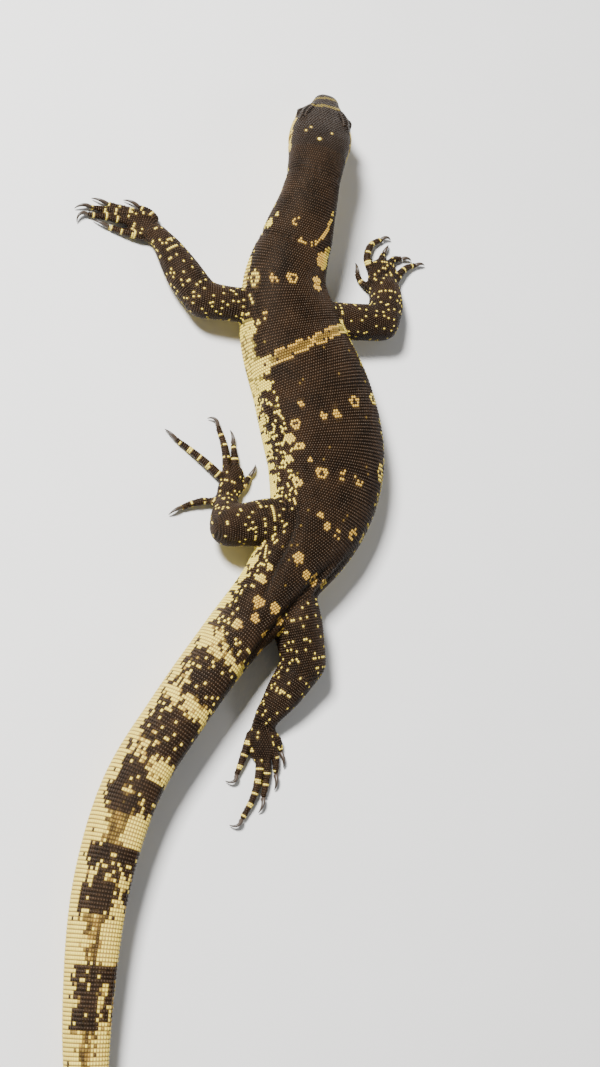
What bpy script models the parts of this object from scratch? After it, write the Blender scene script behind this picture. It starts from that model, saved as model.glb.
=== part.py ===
# Young water monitor lizard at life size, lying on its belly with its neck raised.
# Metres, +Z up, head towards +Y. The origin is on the floor, under the middle of the animal.
import math

import bmesh
import bpy
import numpy as np
from mathutils import Matrix, Vector

# Clearance between neighbouring pieces
GAP = 0.0003

# How far a resting underside is pressed flat on the floor
PRESS = 0.0005

# Half of the step over which the direction of the spine is measured
NUDGE = 0.0005

# Points round a section where only its lowest height is wanted
FINE_POINTS = 48

# Moves the drawing of the animal so that its footprint is centred on the origin
PLACE = np.array([0.0100, 0.0445, 0.0])

# Course of the spine from the snout to the tip of the tail: x, y and height.
# REST stands for the height at which the underside lies on the floor, about LYING.
REST = -1.0
LYING = 0.0090
COURSE = [
    (0.0100, 0.1365, 0.0052),
    (0.0059, 0.1239, 0.0118),
    (0.0025, 0.1135, 0.0172),
    (0.0004, 0.1050, 0.0192),
    (-0.0010, 0.0970, 0.0184),
    (-0.0030, 0.0869, 0.0153),
    (-0.0055, 0.0723, 0.0110),
    (-0.0028, 0.0595, REST),
    (0.0045, 0.0395, REST),
    (0.0080, 0.0200, REST),
    (0.0057, 0.0057, REST),
    (-0.0060, -0.0144, REST),
    (-0.0190, -0.0304, REST),
    (-0.0345, -0.0523, REST),
    (-0.0465, -0.0719, REST),
    (-0.0535, -0.0940, REST),
    (-0.0567, -0.1234, REST),
    (-0.0558, -0.1534, REST),
    (-0.0469, -0.1871, REST),
    (-0.0340, -0.2101, REST),
    (-0.0197, -0.2252, REST),
]

# Girth along the spine: distance from the snout, half width, height over and depth under
# the widest line, and the lean of the back towards +X in degrees
GIRTH = [
    (0.0000, 0.0019, 0.0016, 0.0015, -14),
    (0.0008, 0.0030, 0.0025, 0.0021, -14),
    (0.0020, 0.0037, 0.0031, 0.0026, -14),
    (0.0055, 0.0046, 0.0038, 0.0031, -14),
    (0.0100, 0.0059, 0.0046, 0.0038, -14),
    (0.0145, 0.0082, 0.0050, 0.0045, -14),
    (0.0215, 0.0094, 0.0055, 0.0053, -14),
    (0.0270, 0.0091, 0.0060, 0.0059, -14),
    (0.0320, 0.0083, 0.0063, 0.0064, -13),
    (0.0420, 0.0082, 0.0067, 0.0070, -8),
    (0.0545, 0.0101, 0.0077, 0.0084, -3),
    (0.0695, 0.0122, 0.0098, 0.0094, 0),
    (0.0827, 0.0152, 0.0108, 0.0094, 0),
    (0.0950, 0.0170, 0.0110, 0.0094, 0),
    (0.1160, 0.0180, 0.0112, 0.0094, 0),
    (0.1300, 0.0166, 0.0110, 0.0094, 2),
    (0.1440, 0.0138, 0.0105, 0.0092, 7),
    (0.1580, 0.0112, 0.0098, 0.0092, 13),
    (0.1710, 0.0094, 0.0093, 0.0092, 22),
    (0.1860, 0.0078, 0.0091, 0.0090, 32),
    (0.2050, 0.0068, 0.0090, 0.0088, 40),
    (0.2400, 0.0060, 0.0090, 0.0085, 40),
    (0.2700, 0.0051, 0.0083, 0.0078, 40),
    (0.3045, 0.0041, 0.0069, 0.0064, 38),
    (0.3400, 0.0028, 0.0047, 0.0044, 34),
    (0.3700, 0.0017, 0.0028, 0.0026, 28),
    (0.3900, 0.0009, 0.0013, 0.0012, 25),
    (0.3970, 0.0005, 0.0006, 0.0005, 25),
]

# Roundness of the section over the widest line (2 is an ellipse, less is a ridge)
CROWN = [(0.0, 2.7), (0.028, 2.5), (0.050, 2.2), (0.150, 2.1), (0.200, 1.75), (0.400, 1.8)]
UNDER = 2.4

# Where the body is parted: node, start and end along the spine, rings, points round a ring
HEAD_END = 0.0310
NECK_END = 0.0680
VENT = 0.1680
TRUNK = [
    ("neck", HEAD_END, NECK_END, 8, 20),
    ("torso", NECK_END, VENT, 18, 20),
    ("tail_first", VENT, 0.2220, 12, 18),
    ("tail_second", 0.2220, 0.2800, 11, 18),
    ("tail_third", 0.2800, 0.3400, 10, 16),
    ("tail_fourth", 0.3400, 0.3970, 10, 12),
]
HEAD_RINGS = 14
HEAD_POINTS = 22
HEAD_START = 0.0032
SNOUT_STATIONS = (0, 0.0003, 0.0008, 0.0018)

# Features of the head: distance from the snout, out from the middle, up from the axis
EYE_PLACE = (0.0140, 0.0066, 0.0013)
EYE_RADIUS = 0.0017
LID_SIZE = (0.0028, 0.0021, 0.0024)
LID_SLIT = (0.0016, 0.0016, 0.0010)
EAR_PLACE = (0.0262, 0.0093, 0.0002)
EAR_SIZE = (0.0013, 0.0016, 0.0020)
NOSTRIL_PLACE = (0.0036, 0.0042, 0.0013)
NOSTRIL_SIZE = (0.0008, 0.0008, 0.0005)

# Ridge over each eye and down the side of the snout: along, out, up and radius
BROW = [(0.0065, 0.0033, 0.0027, 0.0005), (0.0095, 0.0040, 0.0031, 0.0008),
        (0.0130, 0.0053, 0.0033, 0.0012), (0.0165, 0.0062, 0.0034, 0.0013),
        (0.0200, 0.0066, 0.0035, 0.0010), (0.0225, 0.0068, 0.0035, 0.0005)]
BROW_MESH = (11, 8)

# Line of the mouth, and behind its corner the back edge of the lower jaw
MOUTH = [(-0.0020, 0.0000), (0.0060, -0.0006), (0.0130, -0.0007), (0.0180, -0.0010),
         (0.0212, -0.0024), (0.0250, -0.0100)]
MOUTH_REACH = 0.0140

# Lips: a roll of this radius along the mouth, sunk this deep in the face
LIP_RADIUS = 0.0006
LIP_SINK = 0.0003
LIP_STATIONS = (0.0008, 0.0022, 0.0045, 0.0075, 0.0105, 0.0140, 0.0175)
LIP_MESH = (20, 7)

# Facets of the small forms of the head, across and down
LUMP_MESH = (16, 9)
EYE_MESH = (14, 8)
SOCKET_MESH = (12, 8)
PIT_MESH = (10, 6)

# Legs: joints as x, y, z and the radius there. The upper part starts inside the body.
LEGS = {
    "left_fore": dict(
        upper=[(-0.0125, 0.0655, 0.0100, 0.0049), (-0.0205, 0.0653, 0.0092, 0.0050),
               (-0.0290, 0.0658, 0.0078, 0.0055)],
        lower=[(-0.0292, 0.0660, 0.0075, 0.0055), (-0.0345, 0.0735, 0.0062, 0.0053),
               (-0.0385, 0.0805, 0.0048, 0.0041), (-0.0415, 0.0853, 0.0036, 0.0031)],
        palm=[(-0.0408, 0.0842, 0.0030, 0.0029), (-0.0440, 0.0873, 0.0022, 0.0035),
              (-0.0478, 0.0886, 0.0018, 0.0030)],
        heading=170, claw=0.0050,
    ),
    "right_fore": dict(
        upper=[(-0.0008, 0.0645, 0.0100, 0.0052), (0.0130, 0.0650, 0.0088, 0.0054),
               (0.0265, 0.0668, 0.0074, 0.0056)],
        lower=[(0.0268, 0.0674, 0.0072, 0.0055), (0.0288, 0.0730, 0.0056, 0.0053),
               (0.0294, 0.0785, 0.0040, 0.0048)],
        palm=[(0.0292, 0.0775, 0.0032, 0.0046), (0.0296, 0.0818, 0.0024, 0.0053),
              (0.0298, 0.0855, 0.0018, 0.0045)],
        heading=92, claw=0.0034,
    ),
    "left_hind": dict(
        upper=[(0.0050, 0.0013, 0.0098, 0.0076), (-0.0080, 0.0022, 0.0103, 0.0069),
               (-0.0213, -0.0004, 0.0102, 0.0057)],
        lower=[(-0.0215, -0.0004, 0.0095, 0.0055), (-0.0210, 0.0036, 0.0070, 0.0048),
               (-0.0202, 0.0074, 0.0044, 0.0036)],
        palm=[(-0.0205, 0.0060, 0.0034, 0.0034), (-0.0190, 0.0115, 0.0025, 0.0036),
              (-0.0174, 0.0172, 0.0019, 0.0033)],
        heading=100, claw=0.0044,
    ),
    "right_hind": dict(
        upper=[(-0.0040, -0.0150, 0.0090, 0.0072), (-0.0010, -0.0250, 0.0088, 0.0072),
               (0.0018, -0.0362, 0.0078, 0.0063)],
        lower=[(0.0018, -0.0365, 0.0074, 0.0062), (-0.0030, -0.0440, 0.0060, 0.0053),
               (-0.0076, -0.0512, 0.0042, 0.0037)],
        palm=[(-0.0076, -0.0500, 0.0036, 0.0035), (-0.0086, -0.0560, 0.0024, 0.0037),
              (-0.0086, -0.0605, 0.0019, 0.0035)],
        heading=-92, claw=0.0044,
    ),
}
PALM_FLAT = 0.60

# Length of the body that the legs are cut clear of: start, end, rings and points
LEG_SPAN = (0.045, 0.240, 34, 20)

# Rings and points of the parts of a leg
UPPER_MESH = (9, 12)
LOWER_MESH = (8, 12)
PALM_MESH = (6, 12)
AROUND_UPPER_MESH = (9, 14)

# Toes, first to fifth: root along and across the palm, heading, turn at each joint, length
# and sideways hook of the claw. Across is positive to the left of the way the foot points.
TOES = {
    "left_fore": [
        (-0.0012, -0.0036, 132, 12, 0.0056, 10), (0.0016, -0.0033, 166, 1, 0.0112, -5),
        (0.0024, -0.0021, 170, 3, 0.0150, 35), (0.0022, -0.0002, 172, 3, 0.0156, 95),
        (0.0008, 0.0030, 172, -3, 0.0104, -10),
    ],
    "right_fore": [
        (-0.0026, 0.0046, 146, -22, 0.0062, -10), (0.0026, 0.0036, 106, -36, 0.0142, -60),
        (0.0034, 0.0012, 80, -8, 0.0070, -10), (0.0030, -0.0018, 82, -34, 0.0088, -30),
        (0.0010, -0.0043, 60, -18, 0.0098, -30),
    ],
    "left_hind": [
        (0.0006, -0.0028, 42, 8, 0.0062, 10), (0.0044, -0.0024, 84, 6, 0.0100, 10),
        (0.0056, -0.0004, 92, 8, 0.0142, 80), (0.0050, 0.0016, 141, 2, 0.0160, -10),
        (-0.0022, 0.0034, 184, 10, 0.0108, 20),
    ],
    "right_hind": [
        (-0.0004, 0.0032, -48, -12, 0.0056, -10), (0.0022, 0.0028, -68, -10, 0.0086, -10),
        (0.0034, 0.0010, -82, -8, 0.0138, -20), (0.0030, -0.0008, -88, -15, 0.0212, -80),
        (0.0004, -0.0032, -108, 0, 0.0116, -95),
    ],
}
TOE_SHARES = (0.0, 0.36, 0.70, 1.0)
TOE_HEIGHTS = (0.0022, 0.0021, 0.0016, 0.0011)
TOE_RADII = (0.0014, 0.0013, 0.0011, 0.0009)
TOE_RINGS = 7
TOE_POINTS = 8

# Steps of the dome that ends a limb, in degrees from its rim
DOME = (68, 34)

CLAW_RADIUS = 0.0008
CLAW_WIDTH = 0.8
CLAW_TAPER = 1.3
CLAW_RISE = 0.5
CLAW_FALL = 1.2
CLAW_TIP = 0.00012
CLAW_RINGS = 5
CLAW_POINTS = 7

COLOURS = {
    "hide": ((0.030, 0.024, 0.019), 0.48),
    "pale_hide": ((0.620, 0.450, 0.180), 0.48),
    "horn": ((0.020, 0.014, 0.010), 0.30),
    "eye": ((0.012, 0.008, 0.006), 0.12),
}


def smooth(knots, values, at):
    """Values on a smooth curve through the given values at the knots."""
    knots = np.asarray(knots, float)
    values = np.asarray(values, float)
    at = np.atleast_1d(np.asarray(at, float))
    slope = np.gradient(values, knots, axis=0)
    i = np.clip(np.searchsorted(knots, at, side="right") - 1, 0, len(knots) - 2)
    step = knots[i + 1] - knots[i]
    t = (at - knots[i]) / step
    if values.ndim > 1:
        step = step[:, None]
        t = t[:, None]
    ahead = (3 - 2 * t) * t * t
    leave = t * (1 - t) ** 2 * step
    reach = t * t * (t - 1) * step
    return (1 - ahead) * values[i] + ahead * values[i + 1] + leave * slope[i] + reach * slope[i + 1]


def unit(vector):
    """The vector at length one."""
    return vector / np.linalg.norm(vector, axis=-1, keepdims=True)


def outline(half_width, above, below, crown, count):
    """Points round one section of the body, as side and up, from the right side over the back."""
    angle = np.linspace(0, 2 * math.pi, count, endpoint=False)
    over = np.sin(angle) >= 0
    power = np.where(over, 2 / crown, 2 / UNDER)
    side = half_width * np.sign(np.cos(angle)) * np.abs(np.cos(angle)) ** power
    up = np.where(over, above, below) * np.sign(np.sin(angle)) * np.abs(np.sin(angle)) ** power
    return np.stack([side, up], axis=1)


def section(distance, grow, count):
    """Section of the body at a distance from the snout, grown all round, and leaned."""
    table = np.array(GIRTH)
    half_width, above, below, lean = smooth(table[:, 0], table[:, 1:], distance)[0]
    crown = np.interp(distance, *np.array(CROWN).T)
    points = outline(half_width + grow, above + grow, below + grow, crown, count)
    turn = math.radians(lean)
    side = points[:, 0] * math.cos(turn) + points[:, 1] * math.sin(turn)
    up = points[:, 1] * math.cos(turn) - points[:, 0] * math.sin(turn)
    return np.stack([side, up], axis=1)


def spine():
    """Distances from the snout and the middle of the body there, at the turning points."""
    course = np.array(COURSE)
    rests = course[:, 2] == REST
    course[rests, 2] = LYING
    steps = np.linalg.norm(np.diff(course, axis=0), axis=1)
    along = np.concatenate([[0], np.cumsum(steps)])
    middle = course + PLACE
    resting = np.array([-section(s, 0, FINE_POINTS)[:, 1].min() - PRESS for s in along])
    middle[:, 2] = np.where(rests, resting, course[:, 2])
    return along, middle


ALONG, MIDDLE = spine()


def spine_frame(distance):
    """Point of the spine, and the directions back, right and up of the body there."""
    here, before, after = smooth(ALONG, MIDDLE, [distance, distance - NUDGE, distance + NUDGE])
    back = unit(after - before)
    right = unit(np.cross(np.array([0, 0, 1.0]), back))
    return here, back, right, np.cross(back, right)


def body_ring(distance, grow, count):
    """Ring of points round the body. What would sink into the floor lies flat on it."""
    here, _, right, up = spine_frame(distance)
    points = section(distance, grow, count)
    ring = here + points[:, :1] * right + points[:, 1:] * up
    if grow == 0:
        ring[:, 2] = np.maximum(ring[:, 2], 0)
    return ring


def loft(rings):
    """Closed mesh over rings of the same number of points, with a fan on each end."""
    bm = bmesh.new()
    rows = [[bm.verts.new(point) for point in ring] for ring in rings]
    count = len(rows[0])
    for row, following in zip(rows, rows[1:]):
        for k in range(count):
            j = (k + 1) % count
            bm.faces.new((row[k], row[j], following[j], following[k]))
    for row in (rows[0], rows[-1]):
        centre = bm.verts.new(sum((v.co for v in row), Vector()) / count)
        for k in range(count):
            bm.faces.new((row[k], row[(k + 1) % count], centre))
    bmesh.ops.recalc_face_normals(bm, faces=bm.faces)
    bmesh.ops.triangulate(bm, faces=bm.faces)
    mesh = bpy.data.meshes.new("loft")
    bm.to_mesh(mesh)
    bm.free()
    return mesh


def trunk(start, end, rings, count, grow=0.0):
    """Length of the body between two distances from the snout."""
    return loft([body_ring(s, grow, count) for s in np.linspace(start, end, rings)])


def tube(points, radii, rings, count, flat=1.0, grow=0.0, blunt=False):
    """Round limb through the points, with domed ends, or cut flat at its far end."""
    points = np.array(points, float)
    knots = np.concatenate([[0], np.cumsum(np.linalg.norm(np.diff(points, axis=0), axis=1))])
    at = np.linspace(0, knots[-1], rings)
    middle = smooth(knots, points, at)
    radius = smooth(knots, np.array(radii, float), at) + grow
    forward = unit(np.gradient(middle, axis=0))
    dome = np.radians(DOME)
    stations = [(middle[0], forward[0], radius[0] * math.cos(a), -radius[0] * math.sin(a)) for a in dome]
    stations += [(m, f, r, 0) for m, f, r in zip(middle, forward, radius)]
    if not blunt:
        last = (middle[-1], forward[-1], radius[-1])
        stations += [(last[0], last[1], last[2] * math.cos(a), last[2] * math.sin(a)) for a in dome[::-1]]
    angle = np.linspace(0, 2 * math.pi, count, endpoint=False)
    result = []
    for centre, way, size, shift in stations:
        right = unit(np.cross(way, np.array([0, 0, 1.0])))
        up = np.cross(right, way)
        ring = centre + way * shift
        ring = ring + size * (np.outer(np.cos(angle), right) + flat * np.outer(np.sin(angle), up))
        if grow == 0:
            ring[:, 2] = np.maximum(ring[:, 2], 0)
        result.append(ring)
    return loft(result)


def paint(name, colour, roughness):
    """Material of one sub-part."""
    material = bpy.data.materials.new(name)
    material.use_nodes = True
    shader = material.node_tree.nodes["Principled BSDF"]
    shader.inputs["Base Color"].default_value = (*colour, 1)
    shader.inputs["Roughness"].default_value = roughness
    material.diffuse_color = (*colour, 1)
    return material


def add(name, mesh, collection, finish=None):
    """Object of the mesh in the collection."""
    thing = bpy.data.objects.new(name, mesh)
    collection.objects.link(thing)
    if collection is CUTTERS:
        thing.hide_render = True
        thing.display_type = "WIRE"
    if finish:
        mesh.name = name
        mesh.materials.clear()
        mesh.materials.append(paint(name, *COLOURS[finish]))
    return thing


def combine(mesh, others, operation):
    """The mesh joined with, or cut by, the other closed meshes."""
    base = add("base", mesh, CUTTERS)
    group = bpy.data.collections.new("operands")
    CUTTERS.children.link(group)
    operands = [add("operand", other, group) for other in others]
    modifier = base.modifiers.new("combine", "BOOLEAN")
    modifier.operation = operation
    modifier.operand_type = "COLLECTION"
    modifier.collection = group
    modifier.solver = "EXACT"
    bpy.context.view_layer.update()
    graph = bpy.context.evaluated_depsgraph_get()
    result = bpy.data.meshes.new_from_object(base.evaluated_get(graph))
    for thing in [base] + operands:
        bpy.data.objects.remove(thing)
    bpy.data.collections.remove(group)
    return result


def bodies(mesh):
    """The closed surfaces of a mesh, as meshes, the largest first."""
    bm = bmesh.new()
    bm.from_mesh(mesh)
    bmesh.ops.triangulate(bm, faces=bm.faces)
    bm.faces.ensure_lookup_table()
    seen = set()
    found = []
    for start in bm.faces:
        if start.index in seen:
            continue
        seen.add(start.index)
        group = [start]
        for face in group:
            for edge in face.edges:
                for other in edge.link_faces:
                    if other.index not in seen:
                        seen.add(other.index)
                        group.append(other)
        found.append([face.index for face in group])
    pieces = []
    for keep in found:
        part = bm.copy()
        part.faces.ensure_lookup_table()
        inside = set(keep)
        drop = [face for face in part.faces if face.index not in inside]
        bmesh.ops.delete(part, geom=drop, context="FACES")
        piece = bpy.data.meshes.new("piece")
        volume = part.calc_volume(signed=True)
        part.to_mesh(piece)
        part.free()
        pieces.append((volume, piece))
    bm.free()
    return [piece for volume, piece in sorted(pieces, key=lambda pair: -pair[0])]


def ball(place, size, facets):
    """Ellipsoid set in the frame of the head: along the head, out and up."""
    bm = bmesh.new()
    bmesh.ops.create_uvsphere(bm, u_segments=facets[0], v_segments=facets[1], radius=1)
    _, back, right, up = head_frame()
    turn = Matrix((right, -back, up)).transposed().to_4x4()
    stretch = Matrix.Diagonal((size[1], size[0], size[2], 1))
    bm.transform(Matrix.Translation(in_head(place)) @ turn @ stretch)
    mesh = bpy.data.meshes.new("ball")
    bm.to_mesh(mesh)
    bm.free()
    return mesh


def head_frame():
    """Frame of the head at the eyes, leaned with it."""
    here, back, right, up = spine_frame(EYE_PLACE[0])
    turn = math.radians(GIRTH[0][4])
    leaned_up = up * math.cos(turn) + right * math.sin(turn)
    leaned_right = right * math.cos(turn) - up * math.sin(turn)
    return here, back, leaned_right, leaned_up


def pair(place, sign):
    """The place on the left (-1) or right (1) side of the head."""
    return (place[0], sign * place[1], place[2])


def mouth_cutter():
    """Thin sheet through the line of the mouth and behind the corner of the jaw."""
    line = np.array(MOUTH)
    way = unit(np.gradient(line, axis=0))
    normal = np.stack([-way[:, 1], way[:, 0]], axis=1)
    rings = []
    for point, out in zip(line, normal):
        ring = []
        for side, face in ((-1, -1), (1, -1), (1, 1), (-1, 1)):
            along, height = point + out * face * GAP / 2
            ring.append(in_head((along, side * MOUTH_REACH, height)))
        rings.append(ring)
    return loft(rings)


def in_head(place):
    """Point given along the head from the snout, out from the middle and up from the axis."""
    here, back, right, up = head_frame()
    return here + (place[0] - EYE_PLACE[0]) * back + place[1] * right + place[2] * up


def brow(sign):
    """Ridge on the left (-1) or right (1) side of the head."""
    points = [in_head(pair(row[:3], sign)) for row in BROW]
    return tube(points, [row[3] for row in BROW], *BROW_MESH)


def lips():
    """Roll along the line of the mouth, from one corner round the snout to the other."""
    table = np.array(GIRTH)
    sides = []
    for along in LIP_STATIONS:
        half_width, _, below = smooth(table[:, 0], table[:, 1:4], along)[0]
        height = np.interp(along, *np.array(MOUTH).T)
        reach = half_width * (1 - (abs(height) / below) ** UNDER) ** (1 / UNDER) - LIP_SINK
        sides.append((along, reach, height))
    front = [(LIP_SINK, 0, sides[0][2])]
    path = sides[::-1] + front + [(along, -reach, height) for along, reach, height in sides]
    return tube([in_head(place) for place in path], [LIP_RADIUS] * len(path), *LIP_MESH)


def make_head():
    """Head with brows, lids, lips, ear cups and nostrils, and the lower jaw parted from it."""
    stations = np.append(SNOUT_STATIONS, np.linspace(HEAD_START, HEAD_END - GAP / 2, HEAD_RINGS))
    skull = loft([body_ring(s, 0, HEAD_POINTS) for s in stations])
    sides = (-1, 1)
    lumps = [brow(s) for s in sides]
    lumps += [ball(pair(EYE_PLACE, s), LID_SIZE, LUMP_MESH) for s in sides]
    skull = bodies(combine(skull, lumps + [lips()], "UNION"))[0]
    hollows = []
    for s in sides:
        socket = (EYE_RADIUS + GAP,) * 3
        slit = (EYE_PLACE[0], s * (EYE_PLACE[1] + EYE_RADIUS), EYE_PLACE[2])
        hollows.append(ball(pair(EYE_PLACE, s), socket, SOCKET_MESH))
        hollows.append(ball(slit, LID_SLIT, PIT_MESH))
        hollows.append(ball(pair(EAR_PLACE, s), EAR_SIZE, PIT_MESH))
        hollows.append(ball(pair(NOSTRIL_PLACE, s), NOSTRIL_SIZE, PIT_MESH))
    skull = combine(skull, hollows, "DIFFERENCE")
    head, jaw = bodies(combine(skull, [mouth_cutter()], "DIFFERENCE"))[:2]
    add("head", head, LIZARD, "hide")
    add("lower_jaw", jaw, LIZARD, "pale_hide")
    for s, side in zip(sides, ("left", "right")):
        eye = ball(pair(EYE_PLACE, s), (EYE_RADIUS,) * 3, EYE_MESH)
        add(f"{side}_eye", eye, LIZARD, "eye")


def make_trunk():
    """Neck, torso and the lengths of the tail."""
    for name, start, end, rings, count in TRUNK:
        last = end == TRUNK[-1][2]
        stop = end if last else end - GAP / 2
        finish = "pale_hide" if name in ("tail_second", "tail_third") else "hide"
        add(name, trunk(start + GAP / 2, stop, rings, count), LIZARD, finish)


def placed(joints):
    """Centres and radii of a chain of joints."""
    joints = np.array(joints)
    return joints[:, :3] + PLACE, joints[:, 3]


def direction(degrees):
    """Level direction at an angle counted from +X towards +Y."""
    return np.array([math.cos(math.radians(degrees)), math.sin(math.radians(degrees)), 0])


def toe_path(leg, toe):
    """Centres of a toe's joints, and its heading at the tip."""
    along, across, heading, turn, length, _ = toe
    forward = direction(leg["heading"])
    left = direction(leg["heading"] + 90)
    point = np.array(leg["palm"][1][:3]) + PLACE + along * forward + across * left
    points = [point]
    for before, after in zip(TOE_SHARES, TOE_SHARES[1:]):
        point = point + (after - before) * length * direction(heading)
        points.append(point)
        last = heading
        heading += turn
    points = np.array(points)
    points[:, 2] = TOE_HEIGHTS
    return points, last


def claw(start, heading, hook, length):
    """Hooked claw that leaves the toe rising a little and ends near the floor."""
    point = np.array(start)
    step = length / (CLAW_RINGS - 1)
    points = [point]
    for t in np.linspace(0, 1, CLAW_RINGS - 1):
        way = direction(heading + hook * t)
        way[2] = CLAW_RISE - CLAW_FALL * t
        point = point + step * unit(way)
        points.append(point)
    taper = np.linspace(0, 1, CLAW_RINGS) ** CLAW_TAPER
    radii = CLAW_RADIUS + (CLAW_TIP - CLAW_RADIUS) * taper
    forward = unit(np.gradient(np.array(points), axis=0))
    forward[0] = direction(heading)
    angle = np.linspace(0, 2 * math.pi, CLAW_POINTS, endpoint=False)
    rings = []
    for centre, way, size in zip(points, forward, radii):
        right = unit(np.cross(way, np.array([0, 0, 1.0])))
        up = np.cross(right, way)
        across = CLAW_WIDTH * np.outer(np.cos(angle), right)
        ring = centre + size * (across + np.outer(np.sin(angle), up))
        ring[:, 2] = np.maximum(ring[:, 2], 0)
        rings.append(ring)
    return loft(rings)


def make_leg(name, leg):
    """Upper leg, lower leg and foot, cut clear of one another, and the claws."""
    side, end = name.split("_")
    words = ("upper_arm", "forearm", "hand") if end == "fore" else ("thigh", "shank", "foot")
    upper, lower, palm = (placed(leg[part]) for part in ("upper", "lower", "palm"))
    around_body = trunk(*LEG_SPAN, GAP)
    around_upper = tube(*upper, *AROUND_UPPER_MESH, grow=GAP)
    around_foot = [tube(*palm, *PALM_MESH, flat=PALM_FLAT, grow=GAP)]
    toes = []
    for number, toe in enumerate(TOES[name], 1):
        points, heading = toe_path(leg, toe)
        toes.append(tube(points, TOE_RADII, TOE_RINGS, TOE_POINTS, blunt=True))
        around_foot.append(tube(points, TOE_RADII, TOE_RINGS, TOE_POINTS, grow=GAP, blunt=True))
        start = points[-1] + GAP * direction(heading)
        nail = claw(start, heading, toe[5], leg["claw"])
        add(f"{side}_{words[2]}_claw_{number}", nail, LIZARD, "horn")
    foot = combine(tube(*palm, *PALM_MESH, flat=PALM_FLAT), toes, "UNION")
    foot = combine(foot, [around_body, around_upper], "DIFFERENCE")
    add(f"{side}_{words[2]}", bodies(foot)[0], LIZARD, "hide")
    shank = combine(tube(*lower, *LOWER_MESH), [around_upper] + around_foot, "DIFFERENCE")
    add(f"{side}_{words[1]}", bodies(shank)[0], LIZARD, "hide")
    thigh = combine(tube(*upper, *UPPER_MESH), [around_body], "DIFFERENCE")
    add(f"{side}_{words[0]}", bodies(thigh)[0], LIZARD, "hide")


def main():
    """The whole animal."""
    make_head()
    make_trunk()
    for name, leg in LEGS.items():
        make_leg(name, leg)


for leftover in list(bpy.data.objects):
    bpy.data.objects.remove(leftover)
LIZARD = bpy.data.collections.new("water_monitor")
CUTTERS = bpy.data.collections.new("cutters")
bpy.context.scene.collection.children.link(LIZARD)
bpy.context.scene.collection.children.link(CUTTERS)
main()
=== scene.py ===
# %% [markdown]
# # A young water monitor lizard
#
# This file dresses a plain, jointless model of a lizard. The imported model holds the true
# sizes, but its surface is made of large facets. Here one smooth skin is drawn over the same
# measures, and some forty thousand scales are laid on it, row by row, as they grow on the
# animal. Lengths are in metres, +Z is up, and the head points to +Y.

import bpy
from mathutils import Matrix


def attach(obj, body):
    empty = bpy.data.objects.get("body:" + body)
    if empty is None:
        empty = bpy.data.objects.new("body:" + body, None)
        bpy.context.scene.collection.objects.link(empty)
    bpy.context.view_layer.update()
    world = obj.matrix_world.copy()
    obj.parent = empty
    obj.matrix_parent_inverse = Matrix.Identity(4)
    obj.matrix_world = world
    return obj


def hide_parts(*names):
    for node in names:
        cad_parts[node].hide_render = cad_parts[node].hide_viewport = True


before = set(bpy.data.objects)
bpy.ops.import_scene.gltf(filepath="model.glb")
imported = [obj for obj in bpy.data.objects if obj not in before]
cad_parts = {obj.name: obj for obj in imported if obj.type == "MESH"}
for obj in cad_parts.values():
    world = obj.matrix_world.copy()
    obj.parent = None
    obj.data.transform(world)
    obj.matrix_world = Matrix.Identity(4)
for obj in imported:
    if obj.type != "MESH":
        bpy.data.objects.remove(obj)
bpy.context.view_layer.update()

# %% [markdown]
# ## Helpers
#
# bpy holds the scene, bmesh builds a mesh face by face, numpy works on thousands of points
# at once, and mathutils finds what is nearest. A living form has hardly a straight line, so
# the first helper draws a smooth curve through a few given values: a position, a width or
# an angle. Nearly every measure below goes through it.

# %% Modules and small helpers
import math

import bmesh
import bpy
import numpy as np
from mathutils import Matrix, Vector, noise
from mathutils.bvhtree import BVHTree
from mathutils.kdtree import KDTree

MM = 0.001
UP = np.array([0, 0, 1.0])


def smooth(knots, values, at):
    """Values on a smooth curve through the given values at the knots."""
    knots = np.asarray(knots, float)
    values = np.asarray(values, float)
    at = np.atleast_1d(np.asarray(at, float))
    slope = np.gradient(values, knots, axis=0)
    i = np.clip(np.searchsorted(knots, at, side="right") - 1, 0, len(knots) - 2)
    step = knots[i + 1] - knots[i]
    t = (at - knots[i]) / step
    if values.ndim > 1:
        step = step[:, None]
        t = t[:, None]
    ahead = (3 - 2 * t) * t * t
    leave = t * (1 - t) ** 2 * step
    reach = t * t * (t - 1) * step
    return (1 - ahead) * values[i] + ahead * values[i + 1] + leave * slope[i] + reach * slope[i + 1]


def unit(vector):
    """The vector, or each row of an array, at length one."""
    return vector / np.linalg.norm(vector, axis=-1, keepdims=True)


def step_up(low, high, value):
    """0 below low, 1 above high, and a soft step between them."""
    t = np.clip((value - low) / (high - low), 0, 1)
    return t * t * (3 - 2 * t)


def lengths_along(points):
    """How far each point of a chain is from the first, measured along it."""
    return np.concatenate([[0], np.cumsum(np.linalg.norm(np.diff(points, axis=0), axis=1))])


def points_at(at, knots, line):
    """Points at distances along a line whose own points are at the knots."""
    return np.stack([np.interp(at, knots, line[:, axis]) for axis in range(3)], axis=1)


def round_angles(count):
    """Even angles once round, without the last, which would repeat the first."""
    return np.linspace(0, 2 * math.pi, count, endpoint=False)


print("Blender", bpy.app.version_string)

# %% [markdown]
# ## The measures of the body
#
# A lizard is drawn most simply as a line, its spine, with a girth at each place along it.
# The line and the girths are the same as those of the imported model, so that the skin lies
# on it everywhere. The one new value is COAT, the height of the scales: the skin is drawn
# that much smaller, and the scales fill the difference.

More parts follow.
